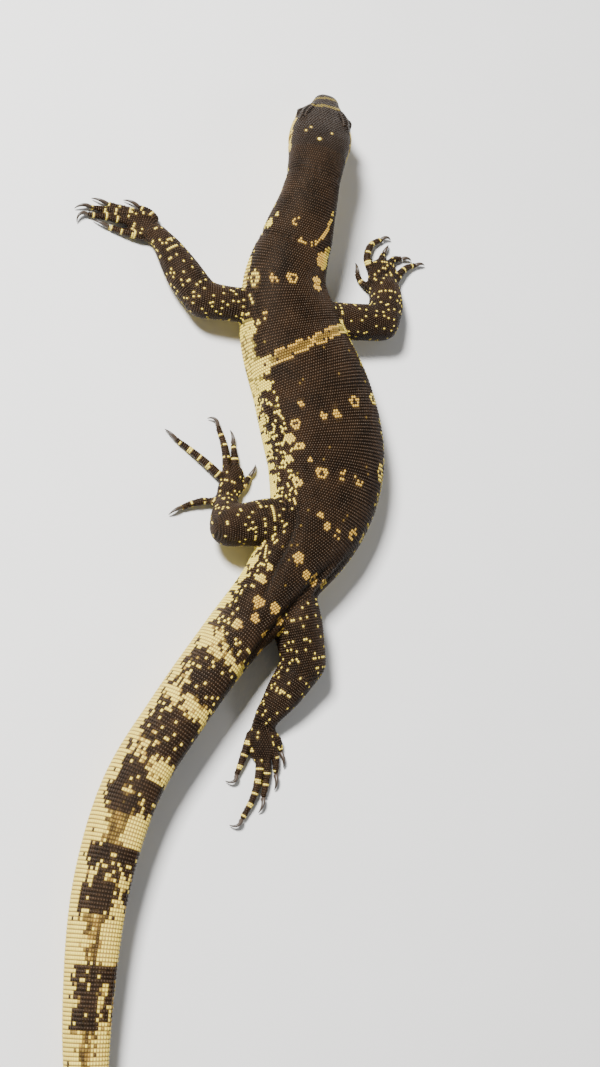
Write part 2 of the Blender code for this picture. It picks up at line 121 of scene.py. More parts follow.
# %% Spine and girth
COAT = 0.00022  # height of the scales, which the skin leaves free
PRESS = 0.0005  # how far the belly is pressed flat on the floor
NUDGE = 0.0005  # length over which a direction is measured
PLACE = np.array([0.0100, 0.0445, 0.0])  # from the drawing's origin to the model's
OUTLINE = 48  # points round the body among which the lowest is looked for
REST = -1.0  # marks a place that lies on the floor: its height follows from its girth
LYING = 0.0090  # height taken for such a place while the spine is measured

# Turning points of the spine, from the snout to the tip of the tail
COURSE = [
    (0.0100, 0.1365, 0.0052),
    (0.0059, 0.1239, 0.0118),
    (0.0025, 0.1135, 0.0172),
    (0.0004, 0.1050, 0.0192),
    (-0.0010, 0.0970, 0.0184),
    (-0.0030, 0.0869, 0.0153),
    (-0.0055, 0.0723, 0.0110),
    (-0.0028, 0.0595, REST),
    (0.0045, 0.0395, REST),
    (0.0080, 0.0200, REST),
    (0.0057, 0.0057, REST),
    (-0.0060, -0.0144, REST),
    (-0.0190, -0.0304, REST),
    (-0.0345, -0.0523, REST),
    (-0.0465, -0.0719, REST),
    (-0.0535, -0.0940, REST),
    (-0.0567, -0.1234, REST),
    (-0.0558, -0.1534, REST),
    (-0.0469, -0.1871, REST),
    (-0.0340, -0.2101, REST),
    (-0.0197, -0.2252, REST),
]

# Distance from the snout, half width, height over and depth under the widest line, lean
GIRTH = np.array([
    (0.0000, 0.0019, 0.0016, 0.0015, -14),
    (0.0008, 0.0030, 0.0025, 0.0021, -14),
    (0.0020, 0.0037, 0.0031, 0.0026, -14),
    (0.0055, 0.0046, 0.0038, 0.0031, -14),
    (0.0100, 0.0059, 0.0046, 0.0038, -14),
    (0.0145, 0.0082, 0.0050, 0.0045, -14),
    (0.0215, 0.0094, 0.0055, 0.0053, -14),
    (0.0270, 0.0091, 0.0060, 0.0059, -14),
    (0.0320, 0.0083, 0.0063, 0.0064, -13),
    (0.0420, 0.0082, 0.0067, 0.0070, -8),
    (0.0545, 0.0101, 0.0077, 0.0084, -3),
    (0.0695, 0.0122, 0.0098, 0.0094, 0),
    (0.0827, 0.0152, 0.0108, 0.0094, 0),
    (0.0950, 0.0170, 0.0110, 0.0094, 0),
    (0.1160, 0.0180, 0.0112, 0.0094, 0),
    (0.1300, 0.0166, 0.0110, 0.0094, 2),
    (0.1440, 0.0138, 0.0105, 0.0092, 7),
    (0.1580, 0.0112, 0.0098, 0.0092, 13),
    (0.1710, 0.0094, 0.0093, 0.0092, 22),
    (0.1860, 0.0078, 0.0091, 0.0090, 32),
    (0.2050, 0.0068, 0.0090, 0.0088, 40),
    (0.2400, 0.0060, 0.0090, 0.0085, 40),
    (0.2700, 0.0051, 0.0083, 0.0078, 40),
    (0.3045, 0.0041, 0.0069, 0.0064, 38),
    (0.3400, 0.0028, 0.0047, 0.0044, 34),
    (0.3700, 0.0017, 0.0028, 0.0026, 28),
    (0.3900, 0.0009, 0.0013, 0.0012, 25),
    (0.3970, 0.0005, 0.0006, 0.0005, 25),
])

# How square the outline is over the widest line, by distance, and under it. 2 is an ellipse
CROWN = [(0.0, 2.7), (0.028, 2.5), (0.050, 2.2), (0.150, 2.1), (0.200, 1.75), (0.400, 1.8)]
UNDER = 2.4
TAIL_TIP = 0.3970
HEAD_END = 0.0310
NECK_END = 0.0680
VENT = 0.1680
TAIL_START = VENT + 0.012  # where the rows of the back have turned into the rings of the tail

print(len(COURSE), "points of the spine,", len(GIRTH), "girths")

# %% [markdown]
# ### The body's surface
#
# A place on the body is given by its distance along the spine and its angle round it. The
# outline is a superellipse, an ellipse with its shoulders pushed out, which is closer to a
# flattened trunk than a plain one.

# %% Places on the body
def section(distance, angle, grow=0.0):
    """Side and up of points of the body's outline, counted from the right over the back."""
    half, above, below, lean = smooth(GIRTH[:, 0], GIRTH[:, 1:], distance).T
    crown = np.interp(distance, *np.array(CROWN).T)
    over = np.sin(angle) >= 0
    power = np.where(over, 2 / crown, 2 / UNDER)
    side = (half + grow) * np.sign(np.cos(angle)) * np.abs(np.cos(angle)) ** power
    tall = np.where(over, above, below) + grow
    rise = tall * np.sign(np.sin(angle)) * np.abs(np.sin(angle)) ** power
    turn = np.radians(lean)
    return side * np.cos(turn) + rise * np.sin(turn), rise * np.cos(turn) - side * np.sin(turn)


def spine():
    """Distances from the snout and the middle of the body there, at the turning points."""
    course = np.array(COURSE)
    rests = course[:, 2] == REST
    course[rests, 2] = LYING
    along = lengths_along(course)
    middle = course + PLACE
    lowest = [section(np.full(OUTLINE, s), round_angles(OUTLINE))[1].min() for s in along]
    middle[:, 2] = np.where(rests, -np.array(lowest) - PRESS, course[:, 2])
    return along, middle


ALONG, MIDDLE = spine()


def spine_frames(distance):
    """Points of the spine, and the directions back, right and up of the body there."""
    here, before, after = (smooth(ALONG, MIDDLE, distance + n) for n in (0, -NUDGE, NUDGE))
    back = unit(after - before)
    right = unit(np.cross(UP, back))
    return here, back, right, np.cross(back, right)


def body_points(distance, angle, grow=-COAT):
    """Points of the body's surface. What would sink into the floor lies flat on it."""
    here, _, right, up = spine_frames(distance)
    side, rise = section(distance, angle, grow)
    points = here + side[:, None] * right + rise[:, None] * up
    points[:, 2] = np.maximum(points[:, 2], -grow)
    return points


print("spine from snout to tail tip: %.0f mm" % (ALONG[-1] / MM))

# %% [markdown]
# ## The measures of the legs
#
# Each leg is three chains of joints with a radius at each, and five toes that start on the
# palm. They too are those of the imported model.

# %% Legs and toes
LEGS = {
    "left_fore": dict(
        upper=[(-0.0125, 0.0655, 0.0100, 0.0049), (-0.0205, 0.0653, 0.0092, 0.0050),
               (-0.0290, 0.0658, 0.0078, 0.0055)],
        lower=[(-0.0292, 0.0660, 0.0075, 0.0055), (-0.0345, 0.0735, 0.0062, 0.0053),
               (-0.0385, 0.0805, 0.0048, 0.0041), (-0.0415, 0.0853, 0.0036, 0.0031)],
        palm=[(-0.0408, 0.0842, 0.0030, 0.0029), (-0.0440, 0.0873, 0.0022, 0.0035),
              (-0.0478, 0.0886, 0.0018, 0.0030)],
        heading=170, claw=0.0050,
    ),
    "right_fore": dict(
        upper=[(-0.0008, 0.0645, 0.0100, 0.0052), (0.0130, 0.0650, 0.0088, 0.0054),
               (0.0265, 0.0668, 0.0074, 0.0056)],
        lower=[(0.0268, 0.0674, 0.0072, 0.0055), (0.0288, 0.0730, 0.0056, 0.0053),
               (0.0294, 0.0785, 0.0040, 0.0048)],
        palm=[(0.0292, 0.0775, 0.0032, 0.0046), (0.0296, 0.0818, 0.0024, 0.0053),
              (0.0298, 0.0855, 0.0018, 0.0045)],
        heading=92, claw=0.0034,
    ),
    "left_hind": dict(
        upper=[(0.0050, 0.0013, 0.0098, 0.0076), (-0.0080, 0.0022, 0.0103, 0.0069),
               (-0.0213, -0.0004, 0.0102, 0.0057)],
        lower=[(-0.0215, -0.0004, 0.0095, 0.0055), (-0.0210, 0.0036, 0.0070, 0.0048),
               (-0.0202, 0.0074, 0.0044, 0.0036)],
        palm=[(-0.0205, 0.0060, 0.0034, 0.0034), (-0.0190, 0.0115, 0.0025, 0.0036),
              (-0.0174, 0.0172, 0.0019, 0.0033)],
        heading=100, claw=0.0044,
    ),
    "right_hind": dict(
        upper=[(-0.0040, -0.0150, 0.0090, 0.0072), (-0.0010, -0.0250, 0.0088, 0.0072),
               (0.0018, -0.0362, 0.0078, 0.0063)],
        lower=[(0.0018, -0.0365, 0.0074, 0.0062), (-0.0030, -0.0440, 0.0060, 0.0053),
               (-0.0076, -0.0512, 0.0042, 0.0037)],
        palm=[(-0.0076, -0.0500, 0.0036, 0.0035), (-0.0086, -0.0560, 0.0024, 0.0037),
              (-0.0086, -0.0605, 0.0019, 0.0035)],
        heading=-92, claw=0.0044,
    ),
}
PALM_FLAT = 0.60

# Root along and across the palm, heading, turn at each joint, length, hook of the claw
TOES = {
    "left_fore": [
        (-0.0012, -0.0036, 132, 12, 0.0056, 10), (0.0016, -0.0033, 166, 1, 0.0112, -5),
        (0.0024, -0.0021, 170, 3, 0.0150, 35), (0.0022, -0.0002, 172, 3, 0.0156, 95),
        (0.0008, 0.0030, 172, -3, 0.0104, -10),
    ],
    "right_fore": [
        (-0.0026, 0.0046, 146, -22, 0.0062, -10), (0.0026, 0.0036, 106, -36, 0.0142, -60),
        (0.0034, 0.0012, 80, -8, 0.0070, -10), (0.0030, -0.0018, 82, -34, 0.0088, -30),
        (0.0010, -0.0043, 60, -18, 0.0098, -30),
    ],
    "left_hind": [
        (0.0006, -0.0028, 42, 8, 0.0062, 10), (0.0044, -0.0024, 84, 6, 0.0100, 10),
        (0.0056, -0.0004, 92, 8, 0.0142, 80), (0.0050, 0.0016, 141, 2, 0.0160, -10),
        (-0.0022, 0.0034, 184, 10, 0.0108, 20),
    ],
    "right_hind": [
        (-0.0004, 0.0032, -48, -12, 0.0056, -10), (0.0022, 0.0028, -68, -10, 0.0086, -10),
        (0.0034, 0.0010, -82, -8, 0.0138, -20), (0.0030, -0.0008, -88, -15, 0.0212, -80),
        (0.0004, -0.0032, -108, 0, 0.0116, -95),
    ],
}
TOE_SHARES = (0.0, 0.36, 0.70, 1.0)
TOE_HEIGHTS = (0.0022, 0.0021, 0.0016, 0.0011)
TOE_RADII = (0.0014, 0.0013, 0.0011, 0.0009)

print(len(LEGS), "legs with", sum(len(toes) for toes in TOES.values()), "toes")

# %% [markdown]
# ### Chains of joints
#
# A toe is a heading that turns a little at every joint, as the bones of a real toe do. A
# chain gives, for any distance along a limb, its middle, its directions and its radius.

# %% Limbs from joints
def direction(degrees):
    """Level direction at an angle counted from +X towards +Y."""
    return np.array([math.cos(math.radians(degrees)), math.sin(math.radians(degrees)), 0])


def placed(joints):
    """Centres and radii of a chain of joints."""
    joints = np.array(joints)
    return joints[:, :3] + PLACE, joints[:, 3]


def toe_path(leg, toe):
    """Centres of a toe's joints, and its heading at the tip."""
    along, across, heading, turn, length, _ = toe
    left = direction(leg["heading"] + 90)
    point = np.array(leg["palm"][1][:3]) + PLACE + along * direction(leg["heading"]) + across * left
    points = [point]
    for before, after in zip(TOE_SHARES, TOE_SHARES[1:]):
        point = point + (after - before) * length * direction(heading)
        points.append(point)
        last = heading
        heading += turn
    points = np.array(points)
    points[:, 2] = TOE_HEIGHTS
    return points, last


def chain(points, radii, at):
    """Centres, forward, right and up directions and radii of a limb at distances along it."""
    knots = lengths_along(points)
    at = np.clip(at, 0, knots[-1])
    ends = [smooth(knots, points, np.clip(at + n, 0, knots[-1])) for n in (-NUDGE / 2, NUDGE / 2)]
    forward = unit(ends[1] - ends[0])
    right = unit(np.cross(forward, UP))
    middle = smooth(knots, points, at)
    return middle, forward, right, np.cross(right, forward), smooth(knots, radii, at)


def length_of(points):
    """Length of a chain of points."""
    return np.linalg.norm(np.diff(points, axis=0), axis=1).sum()


def limb_chains():
    """Every limb as name, part, centres, radii and flatness."""
    found = []
    for name, leg in LEGS.items():
        for part in ("upper", "lower", "palm"):
            flat = PALM_FLAT if part == "palm" else 1.0
            found.append((name, part, *placed(leg[part]), flat))
        for number, toe in enumerate(TOES[name], 1):
            found.append((name, f"toe_{number}", toe_path(leg, toe)[0], np.array(TOE_RADII), 1.0))
    return found


LIMBS = limb_chains()
print(len(LIMBS), "lengths of limb")

# %% [markdown]
# ## Camera
#
# The camera comes first, because everything is judged through it. The animal is seen from
# above, a little from behind and from its left side. The view turns round the middle of
# the picture, and PIXEL is the length that one pixel of a 600 x 1067 picture covers there.

# %% Camera
PICTURE_HEIGHT = 1067
PIXEL = 0.00028
CAMERA_DISTANCE = 0.520
SENSOR = 36
NEAREST_SEEN = 0.01
ROLL = math.radians(22)
TILT = math.radians(14)
AIM = Vector((0, 0, 0.009)) + Vector(PLACE)


def make_camera():
    """Camera over the animal, with the picture's long side up its back."""
    back = Vector((-math.sin(ROLL) * math.cos(TILT), -math.sin(TILT), math.cos(ROLL) * math.cos(TILT)))
    right = Vector((math.cos(ROLL), 0, math.sin(ROLL)))
    turn = Matrix((right, back.cross(right), back)).transposed()
    data = bpy.data.cameras.new("camera")
    data.sensor_width = SENSOR
    data.lens = data.sensor_width * CAMERA_DISTANCE / (PICTURE_HEIGHT * PIXEL)
    data.clip_start = NEAREST_SEEN
    camera = bpy.data.objects.new("camera", data)
    camera.matrix_world = Matrix.Translation(AIM + back * CAMERA_DISTANCE) @ turn.to_4x4()
    bpy.context.scene.collection.objects.link(camera)
    bpy.context.scene.camera = camera
    return camera


camera = make_camera()
print("lens %.1f mm" % camera.data.lens)

# %% [markdown]
# ## Skin
#
# The real skin is one sheet from snout to tail tip, with no seam where a leg grows out. The
# trunk and the limbs are drawn as separate closed tubes that run into one another. A voxel
# remesh then keeps only their common outside, and moving each vertex towards the middle of
# its neighbours turns the sharp crease at every shoulder and hip into a soft one.

# %% Closed tubes
DOME = (80, 60, 40, 20)  # angles of the rings that round off an end, in degrees


def tube_mesh(bm, rings):
    """Adds a closed tube over the rings, with a fan on each end."""
    rows = [[bm.verts.new(point) for point in ring] for ring in rings]
    count = len(rows[0])
    faces = []
    for row, following in zip(rows, rows[1:]):
        for k in range(count):
            j = (k + 1) % count
            faces.append(bm.faces.new((row[k], row[j], following[j], following[k])))
    for row in (rows[0], rows[-1]):
        centre = bm.verts.new(sum((v.co for v in row), Vector()) / count)
        for k in range(count):
            faces.append(bm.faces.new((row[k], row[(k + 1) % count], centre)))
    bmesh.ops.recalc_face_normals(bm, faces=faces)


def limb_rings(points, radii, flat, shrink, step, count, blunt):
    """Rings round a limb, with domed ends unless its far end is blunt."""
    stations = np.linspace(0, length_of(points), max(3, round(length_of(points) / step)))
    middle, forward, right, up, radius = chain(points, radii, stations)
    radius = radius - shrink
    angle = round_angles(count)
    dome = np.radians(DOME)
    rows = [(0, math.cos(a), -math.sin(a)) for a in dome]
    rows += [(i, 1, 0) for i in range(len(stations))]
    if not blunt:
        rows += [(len(stations) - 1, math.cos(a), math.sin(a)) for a in dome[::-1]]
    rings = []
    for i, narrow, ahead in rows:
        spoke = np.outer(np.cos(angle), right[i]) + flat * np.outer(np.sin(angle), up[i])
        ring = middle[i] + forward[i] * radius[i] * ahead + radius[i] * narrow * spoke
        ring[:, 2] = np.maximum(ring[:, 2], shrink)
        rings.append(ring)
    return rings


def mesh_from(bm, name):
    """Mesh of what was built. The builder is freed."""
    mesh = bpy.data.meshes.new(name)
    bm.to_mesh(mesh)
    bm.free()
    return mesh


def new_object(name, data):
    """Object of a mesh or a lamp, in the scene."""
    thing = bpy.data.objects.new(name, data)
    bpy.context.scene.collection.objects.link(thing)
    return thing


def applied(thing, keep_layers=False):
    """Mesh of the object with its modifiers applied. The object is removed."""
    bpy.context.view_layer.update()
    graph = bpy.context.evaluated_depsgraph_get()
    mesh = bpy.data.meshes.new_from_object(thing.evaluated_get(graph), depsgraph=graph,
                                           preserve_all_data_layers=keep_layers)
    bpy.data.objects.remove(thing)
    return mesh


print(len(DOME), "rings round off an end")

# %% [markdown]
# ### Forms of the head
#
# The head has its own forms: a ridge over each eye and down the side of the snout, round
# lids, and a soft roll along the lips. They are added before the remesh, so that they melt
# into the skin. What is sharp on the animal is cut afterwards: the eye's socket, the slit
# of the nostril, the ear and the line of the mouth.

# %% Forms of the head
EYE_PLACE = (0.0140, 0.0066, 0.0013)
EYE_RADIUS = 0.0017
LID_SIZE = (0.0028, 0.0021, 0.0024)
LID_SLIT = (0.0017, 0.0016, 0.0012)
EAR_PLACE = (0.0262, 0.0093, 0.0002)
EAR_SIZE = (0.0012, 0.0013, 0.0019)
NOSTRIL_PLACE = (0.0036, 0.0041, 0.0013)
NOSTRIL_SIZE = (0.0008, 0.0008, 0.0005)
BROW = [(0.0065, 0.0033, 0.0027, 0.0005), (0.0095, 0.0040, 0.0031, 0.0008),
        (0.0130, 0.0053, 0.0033, 0.0012), (0.0165, 0.0062, 0.0034, 0.0013),
        (0.0200, 0.0066, 0.0035, 0.0010), (0.0225, 0.0068, 0.0035, 0.0005)]
BROW_SWELL = (0.0142, 0.0046, 0.0023)
BROW_SWELL_SIZE = (0.0046, 0.0027, 0.0020)
MOUTH = [(-0.0020, 0.0000), (0.0060, -0.0006), (0.0130, -0.0007), (0.0180, -0.0010),
         (0.0212, -0.0024)]
LIP_STATIONS = np.array((0.0008, 0.0022, 0.0045, 0.0075, 0.0105, 0.0140, 0.0175))
LIP_RADIUS = 0.0006
LIP_SINK = 0.0003
MOUTH_SPAN = (0.0006, 0.0205)
MOUTH_GROOVE = 0.00020
SIDES = {"left": -1, "right": 1}


def head_frame():
    """Point of the spine at the eyes, and back, right and up of the leaned head."""
    here, back, right, up = (v[0] for v in spine_frames(np.array([EYE_PLACE[0]])))
    turn = math.radians(GIRTH[0, 4])
    leaned_right = right * math.cos(turn) - up * math.sin(turn)
    leaned_up = up * math.cos(turn) + right * math.sin(turn)
    return here, back, leaned_right, leaned_up


HEAD_AT, HEAD_BACK, HEAD_RIGHT, HEAD_UP = head_frame()


def in_head(place):
    """Point given along the head from the snout, out from the middle and up."""
    return HEAD_AT + (place[0] - EYE_PLACE[0]) * HEAD_BACK + place[1] * HEAD_RIGHT + place[2] * HEAD_UP


def ball(bm, place, size, across=24, down=14):
    """Adds an ellipsoid, given in the head's own directions."""
    turn = Matrix((HEAD_RIGHT, -HEAD_BACK, HEAD_UP)).transposed().to_4x4()
    stretch = Matrix.Diagonal((size[1], size[0], size[2], 1))
    place = Matrix.Translation(in_head(place)) @ turn @ stretch
    bmesh.ops.create_uvsphere(bm, u_segments=across, v_segments=down, radius=1, matrix=place)


def mouth_line(stations, sink):
    """Points of the line of the mouth on the head's surface, from corner to corner."""
    half, _, below = smooth(GIRTH[:, 0], GIRTH[:, 1:4], stations).T
    height = np.interp(stations, *np.array(MOUTH).T)
    reach = (half - COAT) * (1 - (np.abs(height) / below) ** UNDER) ** (1 / UNDER) - sink
    right_side = [in_head(row) for row in zip(stations, reach, height)]
    left_side = [in_head(row) for row in zip(stations, -reach, height)]
    front = in_head((sink, 0, height[0]))
    return np.array(right_side[::-1] + [front] + left_side)


def mirrored(place, side):
    """The place on the left (-1) or right (1) side of the head."""
    return (place[0], side * place[1], place[2])


print("eyes %.1f mm apart" % (2 * EYE_PLACE[1] / MM))

# %% [markdown]
# ### One rough skin
#
# All tubes and forms go into one mesh, where they cross each other freely. The Remesh
# modifier in voxel mode wraps their common outside in one closed surface. A Boolean could
# join them too, but it keeps every sharp crease and fails more easily where faces touch.

# %% Rough skin from the tubes
SKIN_VOXEL = 0.00048
SNOUT_STATIONS = [0, 0.0003, 0.0008, 0.0018]
EVEN_FROM = 0.0028
BODY_STEP, LIMB_STEP, LIP_STEP = 0.0011, 0.0008, 0.0006
BODY_SIDES, LIMB_SIDES, BROW_SIDES, LIP_SIDES, GROOVE_SIDES = 72, 24, 16, 12, 8


def rough_skin():
    """One closed mesh from the trunk, the limbs and the forms of the head."""
    bm = bmesh.new()
    stations = np.concatenate([SNOUT_STATIONS, np.arange(EVEN_FROM, TAIL_TIP, BODY_STEP), [TAIL_TIP]])
    angle = round_angles(BODY_SIDES)
    tube_mesh(bm, [body_points(np.full(BODY_SIDES, s), angle) for s in stations])
    for _, part, points, radii, flat in LIMBS:
        blunt = part.startswith("toe")
        tube_mesh(bm, limb_rings(points, radii, flat, COAT, LIMB_STEP, LIMB_SIDES, blunt))
    for side in SIDES.values():
        rows = np.array([in_head(mirrored(row[:3], side)) for row in BROW])
        radii = np.array([row[3] for row in BROW])
        tube_mesh(bm, limb_rings(rows, radii, 1.0, 0, LIMB_STEP, BROW_SIDES, False))
        ball(bm, mirrored(EYE_PLACE, side), LID_SIZE)
        ball(bm, mirrored(BROW_SWELL, side), BROW_SWELL_SIZE)
    lips = mouth_line(LIP_STATIONS, LIP_SINK)
    tube_mesh(bm, limb_rings(lips, np.full(len(lips), LIP_RADIUS), 1.0, 0, LIP_STEP, LIP_SIDES, False))
    thing = new_object("rough_skin", mesh_from(bm, "rough_skin"))
    remesh = thing.modifiers.new("remesh", "REMESH")
    remesh.mode = "VOXEL"
    remesh.voxel_size = SKIN_VOXEL
    return applied(thing)


skin_mesh = rough_skin()
print(len(skin_mesh.vertices), "vertices in the rough skin")

# %% [markdown]
# ### Smoothing
#
# A voxel remesh leaves steps. Each vertex is moved towards the middle of its neighbours,
# and then a little outwards again, so that the steps go and the thin toes don't shrink. A
# second, stronger pass without the outward half works only where a limb starts, and melts
# the crease there into a soft shoulder. numpy does this for all the vertices at once.

# %% Soften the skin
EVEN_ROUNDS = 7
EVEN_IN, EVEN_OUT = 0.5, 0.52
MELT_ROUNDS = 30
MELT_FROM, MELT_TO = 1.1, 2.2  # in radii of the limb from its start


def numbers_of(collection, key, width, sort):
    """What every element of a mesh keeps under a key, in rows of this width."""
    flat = np.empty(len(collection) * width, sort)
    collection.foreach_get(key, flat)
    return flat.reshape(-1, width)


def points_of(mesh):
    """The mesh's vertices as rows of x, y and z."""
    return numbers_of(mesh.vertices, "co", 3, np.float32).astype(float)


def move_points(mesh, points):
    """Puts the mesh's vertices at these points."""
    mesh.vertices.foreach_set("co", points.astype(np.float32).ravel())
    mesh.update()


def relaxed(points, edges, weight, rounds, strength=0.5, swell=0.0):
    """Points moved towards the middle of their neighbours, and back out again by swell."""
    count = np.bincount(edges.ravel(), minlength=len(points))
    for _ in range(rounds):
        for share in (strength, -swell) if swell else (strength,):
            total = np.empty_like(points)
            for axis in range(3):
                values = points[:, axis]
                total[:, axis] = np.bincount(edges[:, 0], values[edges[:, 1]], len(points))
                total[:, axis] += np.bincount(edges[:, 1], values[edges[:, 0]], len(points))
            points = points + (weight * share)[:, None] * (total / count[:, None] - points)
    return points


def joint_weight(points):
    """1 where limbs run into the body or into each other, and 0 elsewhere."""
    weight = np.zeros(len(points))
    for _, part, centres, radii, _ in LIMBS:
        if not part.startswith("toe"):
            away = np.linalg.norm(points - centres[0], axis=1)
            weight = np.maximum(weight, 1 - step_up(MELT_FROM * radii[0], MELT_TO * radii[0], away))
    return weight


def soften(mesh):
    """Evens out the voxel steps everywhere and rounds the creases where limbs meet."""
    points = points_of(mesh)
    edges = numbers_of(mesh.edges, "vertices", 2, np.int32)
    points = relaxed(points, edges, np.ones(len(points)), EVEN_ROUNDS, EVEN_IN, EVEN_OUT)
    move_points(mesh, relaxed(points, edges, joint_weight(points), MELT_ROUNDS))


soften(skin_mesh)
print("softened")

# %% [markdown]
# ### Folds
#
# A lizard's skin is a loose coat. A long fold runs down each flank from armpit to groin,
# short ones cross the neck and gather in front of the thighs, and two grooves run from the
# hips on to the base of the tail. Each is a line drawn on the body with a width and a
# depth. A vertex that lies near a line is pushed in along its normal, less the farther it
# is from the line and the nearer to the line's ends.

# %% Folds
# Folds as (distance, angle) from one end to the other, width and depth
FOLDS = [
    ([(0.078, -95), (0.095, -88), (0.115, -84), (0.135, -88), (0.150, -98)], 0.0013, 0.00055),
    ([(0.078, 95), (0.095, 90), (0.115, 90), (0.135, 92), (0.150, 98)], 0.0013, 0.00045),
    ([(0.112, -50), (0.120, -68), (0.124, -86)], 0.0008, 0.00045),
    ([(0.121, -60), (0.131, -66), (0.140, -80)], 0.0008, 0.00040),
    ([(0.143, -46), (0.153, -40), (0.164, -42), (0.178, -34)], 0.0017, 0.00110),
    ([(0.150, 34), (0.160, 26), (0.172, 20), (0.190, 16)], 0.0018, 0.00110),
    ([(0.146, 52), (0.158, 48), (0.170, 44)], 0.0014, 0.00060),
    ([(0.060, -80), (0.058, -140), (0.058, 180)], 0.0012, 0.00050),
    ([(0.060, 80), (0.058, 140), (0.058, 180)], 0.0012, 0.00050),
    ([(0.040, -70), (0.038, -130), (0.038, 180)], 0.0011, 0.00035),
    ([(0.040, 70), (0.038, 130), (0.038, 180)], 0.0011, 0.00035),
    ([(0.070, -62), (0.080, -58), (0.088, -62)], 0.0009, 0.00035),
]
FOLD_POINTS = 60
FOLD_REACH = 4  # in widths of the fold
FOLD_END = 0.02  # keeps a fold from fading to nothing at its very ends


def tree_of(points):
    """Search tree over points, which finds the nearest quickly."""
    tree = KDTree(len(points))
    for i, point in enumerate(points):
        tree.insert(point, i)
    tree.balance()
    return tree


def fold_depth(points):
    """How far each point is pushed in by the folds."""
    depth = np.zeros(len(points))
    for line, width, deep in FOLDS:
        line = np.array(line, float)
        knots = np.linspace(0, 1, len(line))
        fine = np.linspace(0, 1, FOLD_POINTS)
        distance = smooth(knots, line[:, 0], fine)
        angle = np.radians(90 - smooth(knots, line[:, 1], fine))
        course = body_points(distance, angle)
        fade = np.sin(np.pi * np.clip(fine, FOLD_END, 1 - FOLD_END)) ** 0.5
        tree = tree_of(course)
        low = course.min(axis=0) - FOLD_REACH * width
        high = course.max(axis=0) + FOLD_REACH * width
        near = np.nonzero(np.all((points > low) & (points < high), axis=1))[0]
        for k in near:
            _, i, away = tree.find(points[k])
            depth[k] = max(depth[k], deep * fade[i] * math.exp(-(away / width) ** 2))
    return depth


def normals_of(mesh):
    """The mesh's vertex normals as rows."""
    return numbers_of(mesh.vertex_normals, "vector", 3, np.float32).astype(float)


def fold_skin(mesh):
    """Pushes the folds into the skin, and keeps it off the floor."""
    points = points_of(mesh)
    points = points - fold_depth(points)[:, None] * normals_of(mesh)
    points[:, 2] = np.maximum(points[:, 2], COAT)
    move_points(mesh, points)


fold_skin(skin_mesh)
print(len(FOLDS), "folds")

# %% [markdown]
# ### Thinning and cutting
#
# The remesh is as fine on the plain trunk as on the head, which wastes faces. Decimate
# takes them where the surface is flattest, and spares the head, which is given to it as a
# vertex group. Then the openings are cut with one Boolean.

# %% Thin the skin out and cut the openings
SKIN_FACES = 176000
FINE_PLACE, FINE_REACH = (0.014, 0, 0), 0.019
FINE_WEIGHT = 3.0
SOCKET_GAP = 0.0001
MOUTH_CUTS = 16


def thinned(mesh):
    """The mesh with fewer triangles, the head kept fine."""
    points = points_of(mesh)
    thing = new_object("thinning", mesh)
    group = thing.vertex_groups.new(name="keep")
    fine = np.linalg.norm(points - in_head(FINE_PLACE), axis=1) < FINE_REACH
    for i in np.nonzero(fine)[0].tolist():
        group.add([i], 1.0, "REPLACE")
    decimate = thing.modifiers.new("thin", "DECIMATE")
    triangles = sum(len(face.vertices) - 2 for face in mesh.polygons)
    decimate.ratio = SKIN_FACES / triangles
    decimate.vertex_group = group.name
    decimate.invert_vertex_group = True
    decimate.vertex_group_factor = FINE_WEIGHT
    return applied(thing)


def openings():
    """Closed cutters for eye sockets, slits of the lids, ears, nostrils and the mouth."""
    bm = bmesh.new()
    for side in SIDES.values():
        ball(bm, mirrored(EYE_PLACE, side), (EYE_RADIUS + SOCKET_GAP,) * 3)
        slit = (EYE_PLACE[0], EYE_PLACE[1] + EYE_RADIUS, EYE_PLACE[2])
        ball(bm, mirrored(slit, side), LID_SLIT)
        ball(bm, mirrored(EAR_PLACE, side), EAR_SIZE)
        ball(bm, mirrored(NOSTRIL_PLACE, side), NOSTRIL_SIZE)
    line = mouth_line(np.linspace(*MOUTH_SPAN, MOUTH_CUTS), 0)
    groove = np.full(len(line), MOUTH_GROOVE)
    tube_mesh(bm, limb_rings(line, groove, 1.0, 0, LIP_STEP, GROOVE_SIDES, False))
    return new_object("openings", mesh_from(bm, "openings"))


def largest_body(mesh):
    """Keeps only the largest connected part of the mesh, and tells how many there were."""
    bm = bmesh.new()
    bm.from_mesh(mesh)
    bm.verts.ensure_lookup_table()
    label = np.full(len(bm.verts), -1)
    sizes = []
    for start in range(len(bm.verts)):
        if label[start] >= 0:
            continue
        label[start] = len(sizes)
        stack = [bm.verts[start]]
        size = 0
        while stack:
            vertex = stack.pop()
            size += 1
            for edge in vertex.link_edges:
                other = edge.other_vert(vertex)
                if label[other.index] < 0:
                    label[other.index] = len(sizes)
                    stack.append(other)
        sizes.append(size)
    keep = int(np.argmax(sizes))
    bmesh.ops.delete(bm, geom=[v for v in bm.verts if label[v.index] != keep], context="VERTS")
    bm.to_mesh(mesh)
    bm.free()
    return len(sizes)


def opened(mesh):
    """The mesh with the openings cut into it."""
    thing = new_object("cutting", mesh)
    cutter = openings()
    cut = thing.modifiers.new("cut", "BOOLEAN")
    cut.operation = "DIFFERENCE"
    cut.solver = "MANIFOLD"
    cut.object = cutter
    result = applied(thing)
    bpy.data.objects.remove(cutter)
    return result


skin_mesh = opened(thinned(skin_mesh))
print(largest_body(skin_mesh), "bodies before the largest was kept")
skin_mesh.name = "skin"
skin = new_object("skin", skin_mesh)
skin_mesh.shade_smooth()
skin_mesh.calc_loop_triangles()
print(len(skin_mesh.loop_triangles), "triangles in the skin")

